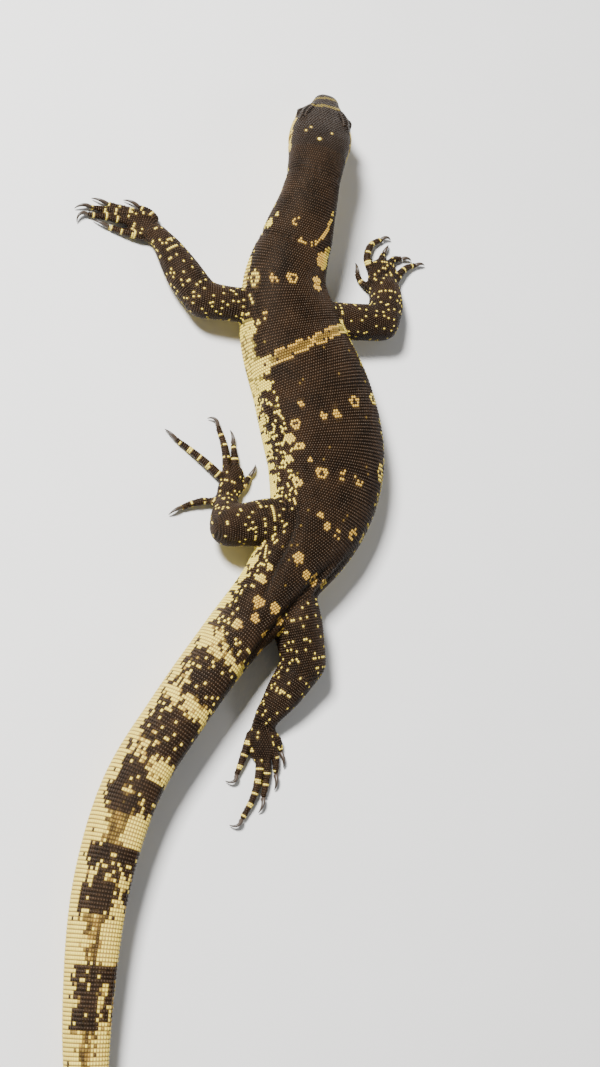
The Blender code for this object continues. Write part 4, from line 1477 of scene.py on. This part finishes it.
def how_warm(scales, crown):
    """How much gold and how little cream each pale scale has."""
    distance = scales["along"] / MM
    on_body = scales["part"] == BODY
    on_tail = on_body & (distance > TAIL_MARKS_FROM)
    warm = np.where(on_body, 1 - step_up(GOLD_TO, CREAM_FROM, np.abs(scales["share"])), LEG_WARM)
    warm = np.where(on_tail, np.where(scales["pale"] < DUSK_TO, TAIL_DUSK_WARM, TAIL_WARM), warm)
    warm = np.where(on_body & (distance < HEAD_MARKS_TO), np.where(crown, 0.0, HEAD_WARM), warm)
    return np.clip(warm + WARM_WANDER * rough(scales, size=0.002, seed=8), 0, 1)


def how_worn(scales):
    """Slow and single unevenness, less on the head."""
    slow = TONE_SLOW * rough(scales, size=0.006, seed=21)
    tone = np.clip(TONE_MEAN + slow + TONE_CHANCE * (chance(scales, seed=22) - 0.5), 0, 1)
    on_head = (scales["part"] == BODY) & (scales["along"] < HEAD_END)
    return tone * np.where(on_head, HEAD_TONE, 1.0)


crown = (scales["part"] == BODY) & (apart(scales, CROWN_PLATE[0] / MM, CROWN_PLATE[1]) < CROWN_REACH)
scales["pale"] = how_pale(scales, crown)
scales["warm"] = how_warm(scales, crown)
scales["tone"] = how_worn(scales)
print("pale share of all scales: %.2f" % scales["pale"].mean())

# %% [markdown]
# ## Shapes of one scale
#
# Four small closed shapes stand for all the scales: a bead, an oblong, an oblong with a
# keel, and a flat plate for the head. A shape that is repeated thousands of times must be
# simple, so each has only 14 to 26 triangles. They reach one unit each way from their
# middle, the skin is at height 0, and the foot reaches below it.

# %% Four shapes
FOOT = -1.2


def shape_mesh(name, outline, levels, peak):
    """Closed mesh over the outline: rings at (height, width) and a top of given points."""
    bm = bmesh.new()
    outline = np.array(outline, float)
    rings = []
    for height, width in levels:
        rings.append([bm.verts.new((x * width, y * width, height)) for x, y in outline])
    count = len(outline)
    bm.faces.new(rings[0][::-1])
    for low, high in zip(rings, rings[1:]):
        for k in range(count):
            j = (k + 1) % count
            bm.faces.new((low[k], low[j], high[j], high[k]))
    top = bm.verts.new(peak)
    for k in range(count):
        bm.faces.new((rings[-1][k], rings[-1][(k + 1) % count], top))
    return new_object(name, mesh_from(bm, name))


def regular(count, start):
    """Corners of a regular outline, the first at the angle start."""
    turn = round_angles(count) + start
    return np.stack([np.cos(turn), np.sin(turn)], axis=1)


def scale_shapes():
    """The four shapes, by their number."""
    hexagon = regular(6, math.pi / 2)
    heptagon = regular(7, 0)
    oblong = [(-1, -1), (1, -1), (1, 1), (-1, 1)]
    return {
        BEAD: shape_mesh("bead", hexagon, ((FOOT, 0.96), (0.35, 0.93)), (0, 0.05, 1.0)),
        OBLONG: shape_mesh("oblong", oblong, ((FOOT, 0.95), (0.55, 0.90)), (0, 0.1, 0.85)),
        KEELED: shape_mesh("keeled", oblong, ((FOOT, 0.95), (0.30, 0.90)), (0, 0.45, 1.25)),
        PLATE: shape_mesh("plate", heptagon, ((FOOT, 0.97), (0.50, 0.90)), (0, 0, 0.72)),
    }


shapes = scale_shapes()
print("shapes:", [shape.name for shape in shapes.values()])

# %% [markdown]
# ## Scales by Geometry Nodes
#
# One tree lays any sort of scale: it puts an instance of the shape on every point, turned
# and sized by the attributes that the points carry, varies its height a little, and realizes
# the instances. The points' own attributes, such as how pale they are, pass on to the
# instances and then to their vertices, where the material reads them.

# %% Helpers for nodes
def out(node, name):
    """The enabled output of a node by its name."""
    return next(s for s in node.outputs if s.enabled and s.name == name)


def into(node, name):
    """The enabled input of a node by its name."""
    return next(s for s in node.inputs if s.enabled and s.name == name)


def put(tree, kind, **settings):
    """Adds a node with these settings."""
    node = tree.nodes.new(kind)
    for key, value in settings.items():
        setattr(node, key, value)
    return node


def fill(tree, socket, value):
    """Links the socket to another one, or gives it a plain value."""
    if hasattr(value, "node"):
        tree.links.new(value, socket)
    else:
        socket.default_value = value


def counted(tree, operation, first, second=0.0):
    """Result of a Math node on two sockets or numbers."""
    node = put(tree, "ShaderNodeMath", operation=operation)
    for socket, value in zip(node.inputs, (first, second)):
        fill(tree, socket, value)
    return node.outputs[0]


def group(kind, name, inputs, outputs):
    """Node group with these sockets, given as (name, sort), and its two end nodes."""
    tree = bpy.data.node_groups.new(name, kind)
    for way, sockets in (("INPUT", inputs), ("OUTPUT", outputs)):
        for socket, sort in sockets:
            tree.interface.new_socket(socket, in_out=way, socket_type="NodeSocket" + sort)
    return tree, put(tree, "NodeGroupInput"), put(tree, "NodeGroupOutput")


print("helpers for nodes are ready")

# %% [markdown]
# ### Building the tree
#
# The tree runs from left to right: where the points are and how they are turned, how large
# each instance is, then the instances, smooth shading and the finish.

# %% The tree that lays scales
TREE_INPUTS = (("Geometry", "Geometry"), ("Shape", "Object"), ("Height", "Float"),
               ("Variation", "Float"), ("Seed", "Int"), ("Finish", "Material"))


def scale_size(tree, start, girth):
    """Size of each instance: the given girth, with its height varied by chance."""
    draw = put(tree, "FunctionNodeRandomValue", data_type="FLOAT")
    for bound, operation in (("Min", "SUBTRACT"), ("Max", "ADD")):
        fill(tree, into(draw, bound), counted(tree, operation, 1, out(start, "Variation")))
    fill(tree, into(draw, "Seed"), out(start, "Seed"))
    height = counted(tree, "MULTIPLY", out(start, "Height"), out(draw, "Value"))
    parts = put(tree, "ShaderNodeSeparateXYZ")
    fill(tree, parts.inputs[0], girth)
    size = put(tree, "ShaderNodeCombineXYZ")
    tall = counted(tree, "MULTIPLY", height, parts.outputs[2])
    for socket, value in zip(size.inputs, (parts.outputs[0], parts.outputs[1], tall)):
        fill(tree, socket, value)
    return size.outputs[0]


def scale_tree():
    """Node group with inputs for the shape, its height, the variation, seed and material."""
    tree, start, end = group("GeometryNodeTree", "lay_scales", TREE_INPUTS, TREE_INPUTS[:1])

    def attribute(name):
        node = put(tree, "GeometryNodeInputNamedAttribute", data_type="FLOAT_VECTOR")
        into(node, "Name").default_value = name
        return out(node, "Attribute")

    turn = put(tree, "FunctionNodeEulerToRotation")
    shape = put(tree, "GeometryNodeObjectInfo")
    lay = put(tree, "GeometryNodeInstanceOnPoints")
    real = put(tree, "GeometryNodeRealizeInstances")
    soft = put(tree, "GeometryNodeSetShadeSmooth")
    finish = put(tree, "GeometryNodeSetMaterial")
    for socket, value in (
        (into(turn, "Euler"), attribute("turn")),
        (into(shape, "Object"), out(start, "Shape")),
        (into(lay, "Points"), out(start, "Geometry")),
        (into(lay, "Instance"), out(shape, "Geometry")),
        (into(lay, "Rotation"), out(turn, "Rotation")),
        (into(lay, "Scale"), scale_size(tree, start, attribute("girth"))),
        (into(real, "Geometry"), out(lay, "Instances")),
        (into(soft, "Geometry"), out(real, "Geometry")),
        (into(finish, "Geometry"), out(soft, "Geometry")),
        (into(finish, "Material"), out(start, "Finish")),
        (into(end, "Geometry"), out(finish, "Geometry")),
    ):
        fill(tree, socket, value)
    return tree


SCALE_TREE = scale_tree()


def set_inputs(modifier, values):
    """Sets a Geometry Nodes modifier's inputs by the names of the tree's sockets."""
    for socket in modifier.node_group.interface.items_tree:
        if socket.item_type == "SOCKET" and socket.in_out == "INPUT" and socket.name in values:
            modifier[socket.identifier] = values[socket.name]


print(len(SCALE_TREE.nodes), "nodes in the tree")

# %% [markdown]
# ## Materials
#
# Skin and scales share one node group for their colour, so that the markings of the two
# always agree. It reads how pale and how warm a spot is from the mesh's attributes and adds
# fine mottling. A second group gives the fine grain that roughens horn and skin.

# %% Shared groups
GRAIN_DETAIL = 3
DUST = (0.20, 0.11, 0.04, 1)  # what worn pale scales turn towards
DUST_SHARE = 0.25
HIDE_COLOURS = ("Dark", "Dark Worn", "Cream", "Gold")
HIDE_VALUES = ("Pale", "Warm", "Tone")


def mixed(tree, factor, first, second):
    """Mixes two colours; each may be a socket or a value. Inputs 6 and 7 are the colours."""
    node = put(tree, "ShaderNodeMix", data_type="RGBA")
    for number, value in ((0, factor), (6, first), (7, second)):
        fill(tree, node.inputs[number], value)
    return node.outputs[2]


def grain_group():
    """Fine grain: a value between 0 and 1 from object coordinates."""
    tree, start, end = group("ShaderNodeTree", "horn_grain", [("Size", "Float")], [("Grain", "Float")])
    where = put(tree, "ShaderNodeTexCoord")
    cloud = put(tree, "ShaderNodeTexNoise")
    cloud.inputs["Detail"].default_value = GRAIN_DETAIL
    fill(tree, cloud.inputs["Vector"], where.outputs["Object"])
    fill(tree, cloud.inputs["Scale"], counted(tree, "DIVIDE", 1.0, start.outputs["Size"]))
    fill(tree, end.inputs["Grain"], cloud.outputs["Fac"])
    return tree


def hide_colour_group():
    """Colour of hide from the attributes pale, warm and tone."""
    inputs = [(name, "Color") for name in HIDE_COLOURS]
    inputs += [(name, "Float") for name in HIDE_VALUES + ("Grain",)]
    tree, start, end = group("ShaderNodeTree", "hide_colour", inputs, [("Colour", "Color")])
    given = start.outputs
    lit = mixed(tree, given["Warm"], given["Cream"], given["Gold"])
    shade = mixed(tree, DUST_SHARE, lit, DUST)
    light = mixed(tree, counted(tree, "MULTIPLY", given["Tone"], given["Grain"]), lit, shade)
    dark = mixed(tree, given["Tone"], given["Dark"], given["Dark Worn"])
    fill(tree, end.inputs["Colour"], mixed(tree, given["Pale"], dark, light))
    return tree


GRAIN = grain_group()
HIDE_COLOUR = hide_colour_group()
print("groups:", GRAIN.name, HIDE_COLOUR.name)

# %% [markdown]
# ### Hide and scales
#
# The scales are satin: light catches each bead. The skin between them is nearly black where
# the animal is dark, and tan where it is pale, partly its own colour and partly painted shade
# in the gaps. The attribute rise tells how high on its scale a spot is, and the foot of each
# scale is darkened with painted shade.

# %% Hide materials
CREAM = (0.98, 0.83, 0.13, 1)
GOLD = (0.62, 0.39, 0.070, 1)
DARK_SCALE = (0.010, 0.005, 0.002, 1)
WORN_SCALE = (0.042, 0.022, 0.010, 1)
# Colours of the skin between the scales: partly its own darker colour, partly painted shade in the gaps
SHADED_DARK_SKIN = (0.003, 0.002, 0.0015, 1)
SHADED_PALE_SKIN = (0.26, 0.17, 0.055, 1)
SHADED_GOLD_SKIN = (0.13, 0.070, 0.018, 1)
SHADED_WORN_SKIN = (0.012, 0.008, 0.005, 1)
SHEEN_TINT = (1.0, 0.84, 0.68, 1)
SCALE_SHEEN, SKIN_SHEEN = 0.20, 0.12
HIDE_MOTTLE = 0.0004
# Painted shade: towards each scale's foot, where rise is low, its colour is multiplied by FOOT_SHADE
FOOT_SHADE = (0.42, 0.34, 0.26, 1)
FOOT_STEEP, FOOT_SHIFT = 1.2, 0.2

# Size of the grain, least and most roughness, and height of the bumps
SCALE_GRAIN = (0.00025, 0.27, 0.42, 0.00002)
SKIN_GRAIN = (0.0003, 0.55, 0.75, 0.00003)


def new_material(name):
    """Material with its Principled shader."""
    material = bpy.data.materials.new(name)
    material.use_nodes = True
    return material, material.node_tree, material.node_tree.nodes["Principled BSDF"]


def attribute_of(tree, name):
    """Value of a mesh attribute."""
    node = put(tree, "ShaderNodeAttribute", attribute_type="GEOMETRY", attribute_name=name)
    return node.outputs["Fac"]


def grain_of(tree, size):
    """Grain of this size in metres."""
    node = put(tree, "ShaderNodeGroup", node_tree=GRAIN)
    node.inputs["Size"].default_value = size
    return node.outputs["Grain"]


def set_shader(tree, node, **values):
    """Fills a node's inputs, named with _ for the spaces in their names."""
    for name, value in values.items():
        fill(tree, node.inputs[name.replace("_", " ")], value)


def hide_colour(tree, *colours):
    """Colour socket of hide with these four colours."""
    node = put(tree, "ShaderNodeGroup", node_tree=HIDE_COLOUR)
    for name, value in zip(HIDE_COLOURS, colours):
        fill(tree, node.inputs[name], value)
    for name in HIDE_VALUES:
        fill(tree, node.inputs[name], attribute_of(tree, name.lower()))
    fill(tree, node.inputs["Grain"], grain_of(tree, HIDE_MOTTLE))
    return node.outputs["Colour"]


def roughened(tree, shader, size, low, high, bump):
    """Grain of this size in the roughness, between low and high, and in a bump."""
    grain = grain_of(tree, size)
    spread = put(tree, "ShaderNodeMapRange")
    set_shader(tree, spread, Value=grain, To_Min=low, To_Max=high)
    relief = put(tree, "ShaderNodeBump")
    set_shader(tree, relief, Height=grain, Strength=1.0, Distance=bump)
    set_shader(tree, shader, Roughness=spread.outputs["Result"], Normal=relief.outputs["Normal"])


def scale_material():
    """Horny scales, with painted shade that darkens each one towards its foot."""
    material, tree, shader = new_material("scale_horn")
    colour = hide_colour(tree, DARK_SCALE, WORN_SCALE, CREAM, GOLD)
    # Painted shade at each scale's foot, fading out towards its top
    steep = counted(tree, "MULTIPLY", attribute_of(tree, "rise"), FOOT_STEEP)
    foot = put(tree, "ShaderNodeClamp")
    fill(tree, foot.inputs[0], counted(tree, "SUBTRACT", steep, FOOT_SHIFT))
    deep = mixed(tree, 1.0, colour, FOOT_SHADE)
    deep.node.blend_type = "MULTIPLY"
    set_shader(tree, shader, Base_Color=mixed(tree, foot.outputs[0], deep, colour),
               Specular_IOR_Level=SCALE_SHEEN, Specular_Tint=SHEEN_TINT)
    roughened(tree, shader, *SCALE_GRAIN)
    return material


def skin_material():
    """Soft skin between the scales, its colour partly its own and partly painted shade in the gaps."""
    material, tree, shader = new_material("skin_between")
    set_shader(tree, shader, Base_Color=hide_colour(tree, SHADED_DARK_SKIN, SHADED_WORN_SKIN, SHADED_PALE_SKIN, SHADED_GOLD_SKIN),
               Specular_IOR_Level=SKIN_SHEEN, Specular_Tint=SHEEN_TINT)
    roughened(tree, shader, *SKIN_GRAIN)
    return material


SCALE_HORN = scale_material()
SKIN_BETWEEN = skin_material()
print("materials:", SCALE_HORN.name, SKIN_BETWEEN.name)

# %% [markdown]
# ### Attributes of the skin
#
# Each vertex of the skin takes the mean marking of the three scales nearest to it, so the
# skin between scales changes colour where the scales do. Where there are none near, as in
# the openings, it fades to dark.

# %% Markings on the skin
NEAREST_SCALES = 3
BARE_FROM, BARE_TO = 0.5, 0.9  # distance in mm to the nearest scale over which the marking fades


def store(mesh, name, values):
    """Keeps a number at each vertex."""
    layer = mesh.attributes.new(name, "FLOAT", "POINT")
    layer.data.foreach_set("value", np.asarray(values, np.float32))


def mark_skin(mesh):
    """Gives each vertex the mean marking of the three nearest scales."""
    tree = tree_of(scales["point"])
    found = [tree.find_n(point, NEAREST_SCALES) for point in points_of(mesh)]
    near = np.array([[hit[1] for hit in hits] for hits in found])
    away = np.array([hits[0][2] for hits in found])
    marked = 1 - step_up(BARE_FROM, BARE_TO, away / MM)
    for name in ("pale", "warm", "tone"):
        store(mesh, name, scales[name][near].mean(axis=1) * marked)


mark_skin(skin_mesh)
skin_mesh.materials.clear()
skin_mesh.materials.append(SKIN_BETWEEN)
print("skin marked")

# %% [markdown]
# ## The coat of scales
#
# The scales are laid region by region and shape by shape. Each piece stays well under
# 200,000 triangles. Each piece has its map, OFBake, which spreads a region of skin flat,
# round the body one way and along it the other, and each scale is a small patch at its own
# place on that map.

# %% Regions and maps
SORTS = (BEAD, OBLONG, KEELED, PLATE)

# Height in metres, and half width and half length as shares of the distance between scales
SCALE_HEIGHT = {BEAD: 0.00021, OBLONG: 0.00012, KEELED: 0.00013, PLATE: 0.00014}
SCALE_HALF = {BEAD: (0.505, 0.600), OBLONG: (0.488, 0.440), KEELED: (0.492, 0.440),
              PLATE: (0.510, 0.540)}
SHAPE_WORDS = {BEAD: "beads", OBLONG: "scutes", KEELED: "keeled", PLATE: "plates"}
PATCH = 0.0015  # half width of a scale's patch on the map
MARGIN = 0.02  # left free round the map and between strips


def region_of(scales):
    """Name of the region each scale belongs to."""
    distance = scales["along"]
    body = np.select([distance < end for end in (HEAD_END, NECK_END, TAIL_START)],
                     ["head", "neck", "torso"], "tail")
    limb = np.array([str(part).split(" ")[0] for part in scales["part"]])
    return np.where(scales["part"] == BODY, body, limb)


def scale_roots(scales):
    """Place of each scale on its region's map, each part of a limb in its own strip."""
    region = region_of(scales)
    spot = np.zeros((len(region), 2))
    for name in set(region):
        inside = region == name
        parts = sorted(set(scales["part"][inside]))
        for number, part in enumerate(parts):
            here = inside & (scales["part"] == part)
            v = scales["along"][here]
            v = (v - v.min()) / max(v.max() - v.min(), NUDGE)
            u = (scales["share"][here] + 1) / 2
            width = (1 - 2 * MARGIN) / len(parts)
            spot[here, 0] = MARGIN + width * (number + MARGIN + (1 - 2 * MARGIN) * u)
            spot[here, 1] = MARGIN + (1 - 2 * MARGIN) * v
    return spot


def turns_of(scales):
    """Euler angles that lay a scale along its lie, upright on the skin."""
    normal = unit(scales["normal"])
    lie = scales["lie"]
    along = unit(lie - np.einsum("ij,ij->i", lie, normal)[:, None] * normal)
    across = np.cross(along, normal)
    return np.stack([np.arctan2(along[:, 2], normal[:, 2]), -np.arcsin(np.clip(across[:, 2], -1, 1)),
                     np.arctan2(across[:, 1], across[:, 0])], axis=1)


scales["region"] = region_of(scales)
scales["root"] = scale_roots(scales)
scales["turn"] = turns_of(scales)
print(sorted(set(scales["region"])))

# %% [markdown]
# ### Laying one piece
#
# A mesh of bare points carries the places of one piece, and the tree turns it into scales.
# The instances come out in the order of the points, so each vertex finds its own place on
# the shape again, and with it its place on the map and its rise.

# %% Lay one piece of the coat
USUAL_SIZE = 0.0007  # a scale of this size has the height given for its sort
VARIATION = 0.16


def seeded_points(name, chosen, kind):
    """Mesh of bare points that carry what each scale needs."""
    mesh = bpy.data.meshes.new(name)
    mesh.from_pydata(chosen["point"].tolist(), [], [])
    half = chosen["size"] * SCALE_HALF[kind]
    tall = chosen["size"].mean(axis=1) / USUAL_SIZE
    girth = np.stack([half[:, 0], half[:, 1], tall], axis=1)
    for key, values in (("turn", chosen["turn"]), ("girth", girth)):
        layer = mesh.attributes.new(key, "FLOAT_VECTOR", "POINT")
        layer.data.foreach_set("vector", values.astype(np.float32).ravel())
    for key in ("pale", "warm", "tone"):
        store(mesh, key, chosen[key])
    store(mesh, "serial", np.arange(len(half)))
    return new_object(name, mesh)


def map_scales(mesh, chosen, shape):
    """Adds the OFBake map, and how high on its scale each vertex is."""
    template = points_of(shape.data)
    serial = numbers_of(mesh.attributes["serial"].data, "value", 1, np.float32)[:, 0]
    serial = np.round(serial).astype(int)
    local = template[np.arange(len(serial)) % len(template)]
    store(mesh, "rise", np.clip(local[:, 2], 0, 1))
    corner = numbers_of(mesh.loops, "vertex_index", 1, np.int32)[:, 0]
    place = chosen["root"][serial] + PATCH * np.clip(local[:, :2], -1, 1)
    layer = mesh.uv_layers.new(name="OFBake")
    layer.data.foreach_set("uv", place[corner].astype(np.float32).ravel())
    mesh.attributes.remove(mesh.attributes["serial"])


def lay_scales(name, chosen, kind, seed):
    """Runs the tree on one set of places and returns a plain mesh object."""
    thing = seeded_points(name, chosen, kind)
    modifier = thing.modifiers.new("scales", "NODES")
    modifier.node_group = SCALE_TREE
    set_inputs(modifier, {"Shape": shapes[kind], "Height": SCALE_HEIGHT[kind], "Variation": VARIATION,
                          "Seed": seed, "Finish": SCALE_HORN})
    mesh = applied(thing, keep_layers=True)
    mesh.name = name
    map_scales(mesh, chosen, shapes[kind])
    mesh.materials.clear()
    mesh.materials.append(SCALE_HORN)
    return new_object(name, mesh)


def lay_coat():
    """Every piece of the coat."""
    coat = []
    for region in sorted(set(scales["region"])):
        for kind in SORTS:
            found = np.nonzero((scales["region"] == region) & (scales["kind"] == kind))[0]
            if len(found):
                name = f"{region}_{SHAPE_WORDS[kind]}"
                coat.append(lay_scales(name, picked(scales, found), kind, len(coat)))
    return coat


coat = lay_coat()
for shape in shapes.values():
    bpy.data.objects.remove(shape)
coat_count = 0
for piece in coat:
    piece.data.calc_loop_triangles()
    coat_count += len(piece.data.loop_triangles)
    print(piece.name, len(piece.data.loop_triangles), "triangles")
print(coat_count, "triangles in the coat")

# %% [markdown]
# ## Claws
#
# Twenty hooked claws stay their own pieces. They have the same course as in the packed
# model, with more and rounder sections, and darker, glossier horn.

# %% Claws
CLAW_RADIUS = 0.0008
CLAW_WIDTH = 0.8
CLAW_TAPER = 1.3
CLAW_RISE = 0.5
CLAW_FALL = 1.2
CLAW_TIP = 0.00012
CLAW_STEPS = 4
CLAW_RINGS = 17
CLAW_SIDES = 16
CLAW_GAP = 0.0003
CLAW_ROOT, CLAW_END = (0.045, 0.030, 0.020, 1), (0.012, 0.009, 0.007, 1)
CLAW_STREAK, CLAW_STREAK_SIZE, CLAW_STREAK_SHARE = (0.08, 0.055, 0.035, 1), 0.0005, 0.35
CLAW_GRAIN = (0.0003, 0.32, 0.50, 0.00002)
FOOT_WORDS = {"fore": "hand", "hind": "foot"}


def claw_mesh(name, start, heading, hook, length):
    """Hooked claw that leaves the toe rising a little and ends near the floor."""
    points = [np.array(start)]
    for t in np.linspace(0, 1, CLAW_STEPS):
        way = direction(heading + hook * t)
        way[2] = CLAW_RISE - CLAW_FALL * t
        points.append(points[-1] + length / CLAW_STEPS * unit(way))
    knots = np.linspace(0, 1, CLAW_STEPS + 1)
    fine = np.linspace(0, 1, CLAW_RINGS)
    course = smooth(knots, np.array(points), fine)
    radii = CLAW_RADIUS + (CLAW_TIP - CLAW_RADIUS) * fine ** CLAW_TAPER
    forward = unit(np.gradient(course, axis=0))
    angle = round_angles(CLAW_SIDES)
    rings = []
    for centre, way, size in zip(course, forward, radii):
        right = unit(np.cross(way, UP))
        up = np.cross(right, way)
        spoke = CLAW_WIDTH * np.outer(np.cos(angle), right) + np.outer(np.sin(angle), up)
        ring = centre + size * spoke
        ring[:, 2] = np.maximum(ring[:, 2], 0)
        rings.append(ring)
    bm = bmesh.new()
    tube_mesh(bm, rings)
    mesh = mesh_from(bm, name)
    mesh.shade_smooth()
    store(mesh, "along", np.clip(np.arange(len(mesh.vertices)) / (CLAW_RINGS * CLAW_SIDES), 0, 1))
    return mesh


def claw_material():
    """Dark horn, browner at the root."""
    material, tree, shader = new_material("claw_horn")
    colour = mixed(tree, attribute_of(tree, "along"), CLAW_ROOT, CLAW_END)
    streak = mixed(tree, grain_of(tree, CLAW_STREAK_SIZE), colour, CLAW_STREAK)
    set_shader(tree, shader, Base_Color=mixed(tree, CLAW_STREAK_SHARE, colour, streak))
    roughened(tree, shader, *CLAW_GRAIN)
    return material


CLAW_HORN = claw_material()


def make_claws():
    """Twenty claws by the name of the node that each stands for."""
    found = {}
    for name, leg in LEGS.items():
        side, end = name.split("_")
        for number, toe in enumerate(TOES[name], 1):
            points, heading = toe_path(leg, toe)
            node = f"{side}_{FOOT_WORDS[end]}_claw_{number}"
            start = points[-1] + CLAW_GAP * direction(heading)
            mesh = claw_mesh("horn_" + node, start, heading, toe[-1], leg["claw"])
            mesh.materials.append(CLAW_HORN)
            found[node] = new_object("horn_" + node, mesh)
    return found


claws = make_claws()
print(len(claws), "claws")

# %% [markdown]
# ## Eyes
#
# A monitor's eye has a round pupil, a dark brown iris and a thin golden ring round the
# pupil. The attribute gaze, how near a spot is to the middle of the pupil, places them, so
# the iris turns with the eye and not with the view. A clear wet film covers all: coat on
# the shader.

# %% Eyes
GAZE = (0.20, 1.0, 0.22)  # how far the eye looks ahead, out and up
EYE_ROUND, EYE_DOWN = 40, 28  # faces round the eyeball and from pole to pole
EYE_ROUGHNESS, EYE_SHEEN = 0.12, 0.05
FILM_WEIGHT, FILM_ROUGHNESS = 0.20, 0.02

# Colours from the equator of the eye to the middle of the pupil
IRIS = ((0.0, (0.020, 0.012, 0.008, 1)), (0.60, (0.055, 0.028, 0.012, 1)),
        (0.80, (0.11, 0.055, 0.018, 1)), (0.895, (0.42, 0.24, 0.06, 1)),
        (0.915, (0.006, 0.005, 0.004, 1)), (1.0, (0.004, 0.004, 0.004, 1)))
IRIS_FLECK, IRIS_FLECK_SIZE, IRIS_FLECK_SHARE = (0.03, 0.015, 0.008, 1), 0.0003, 0.35


def eye_mesh(name, side):
    """Eyeball, with gaze 1 at the middle of the pupil and 0 round the equator."""
    bm = bmesh.new()
    bmesh.ops.create_uvsphere(bm, u_segments=EYE_ROUND, v_segments=EYE_DOWN, radius=EYE_RADIUS)
    centre = in_head(mirrored(EYE_PLACE, side))
    bmesh.ops.translate(bm, verts=bm.verts, vec=centre)
    mesh = mesh_from(bm, name)
    mesh.shade_smooth()
    gaze = unit(-GAZE[0] * HEAD_BACK + side * GAZE[1] * HEAD_RIGHT + GAZE[2] * HEAD_UP)
    store(mesh, "gaze", (points_of(mesh) - centre) / EYE_RADIUS @ gaze)
    return mesh


def eye_material():
    """Pupil, golden ring and brown iris under a wet film."""
    material, tree, shader = new_material("eye_wet")
    ramp = put(tree, "ShaderNodeValToRGB")
    elements = ramp.color_ramp.elements
    elements[0].color, elements[-1].color = IRIS[0][1], IRIS[-1][1]
    for position, colour in IRIS[1:-1]:
        elements.new(position).color = colour
    fill(tree, ramp.inputs["Fac"], attribute_of(tree, "gaze"))
    plain = ramp.outputs["Color"]
    fleck = mixed(tree, grain_of(tree, IRIS_FLECK_SIZE), plain, IRIS_FLECK)
    set_shader(tree, shader, Base_Color=mixed(tree, IRIS_FLECK_SHARE, plain, fleck),
               Roughness=EYE_ROUGHNESS, Specular_IOR_Level=EYE_SHEEN, Coat_Weight=FILM_WEIGHT,
               Coat_Roughness=FILM_ROUGHNESS)
    return material


EYE_WET = eye_material()
eyes = {}
for side_name, side in SIDES.items():
    ball_mesh = eye_mesh(f"{side_name}_eyeball", side)
    ball_mesh.materials.append(EYE_WET)
    eyes[side_name] = new_object(f"{side_name}_eyeball", ball_mesh)
print("eyes:", list(eyes))

# %% [markdown]
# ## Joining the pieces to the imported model
#
# The skin stands for all the flesh nodes together, so it shows no seam. Eyes and claws
# each stand for their own node. Everything rides on the one body, because nothing moves.

# %% Bodies, nodes and finishes
ROOT = "root"
loose = {"left_eye", "right_eye"} | set(claws)
flesh = sorted(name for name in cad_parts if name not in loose)
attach(skin, ROOT)
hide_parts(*flesh)
for piece in coat:
    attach(piece, ROOT)
for node, piece in claws.items():
    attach(piece, ROOT)
    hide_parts(node)
for side_name, piece in eyes.items():
    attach(piece, ROOT)
    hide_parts(side_name + "_eye")
print("skin stands for", flesh)

# %% [markdown]
# ## Floor and light
#
# A plain pale floor, a strong small lamp from the upper left of the picture, a weak one
# from the other side and an even, dim sky. A small lamp gives each scale a crisp light and
# a crisp shadow, and the sky keeps the shadows from going black.

# %% Floor and lamps
FLOOR_HALF = 6.0
FLOOR_COLOURS = (0.70, 0.69, 0.67, 1), (0.74, 0.73, 0.71, 1)
FLOOR_MOTTLE = 0.03
FLOOR_ROUGHNESS = 0.8
SKY_COLOUR = (0.95, 0.97, 1.0, 1)
SKY_STRENGTH = 0.24

# Place, width and power
LAMPS = {"key": ((-0.50, 0.35, 0.75), 0.20, 34.0), "fill": ((0.60, -0.25, 0.50), 0.25, 1.2)}


def floor_material():
    """Plain pale floor with barely visible mottling."""
    material, tree, shader = new_material("pale_floor")
    shade = mixed(tree, grain_of(tree, FLOOR_MOTTLE), *FLOOR_COLOURS)
    set_shader(tree, shader, Base_Color=shade, Roughness=FLOOR_ROUGHNESS)
    return material


def make_floor():
    """Large flat floor at height 0."""
    mesh = bpy.data.meshes.new("floor")
    corners = [(x * FLOOR_HALF, y * FLOOR_HALF, 0) for x, y in ((-1, -1), (1, -1), (1, 1), (-1, 1))]
    mesh.from_pydata(corners, [], [(0, 1, 2, 3)])
    mesh.materials.append(floor_material())
    floor = new_object("floor", mesh)
    return floor


def lamp(name, place, size, power):
    """Square area lamp that looks at the animal."""
    data = bpy.data.lights.new(name, "AREA")
    data.size = size
    data.energy = power
    thing = new_object(name, data)
    thing.location = place
    thing.rotation_euler = (AIM - Vector(place)).to_track_quat("-Z", "Y").to_euler()
    return thing


floor = make_floor()
lamps = [lamp(name, *values) for name, values in LAMPS.items()]
world = bpy.data.worlds.new("studio")
world.use_nodes = True
sky = world.node_tree.nodes["Background"]
sky.inputs["Color"].default_value = SKY_COLOUR
sky.inputs["Strength"].default_value = SKY_STRENGTH
bpy.context.scene.world = world
print("floor and", len(lamps), "lamps")
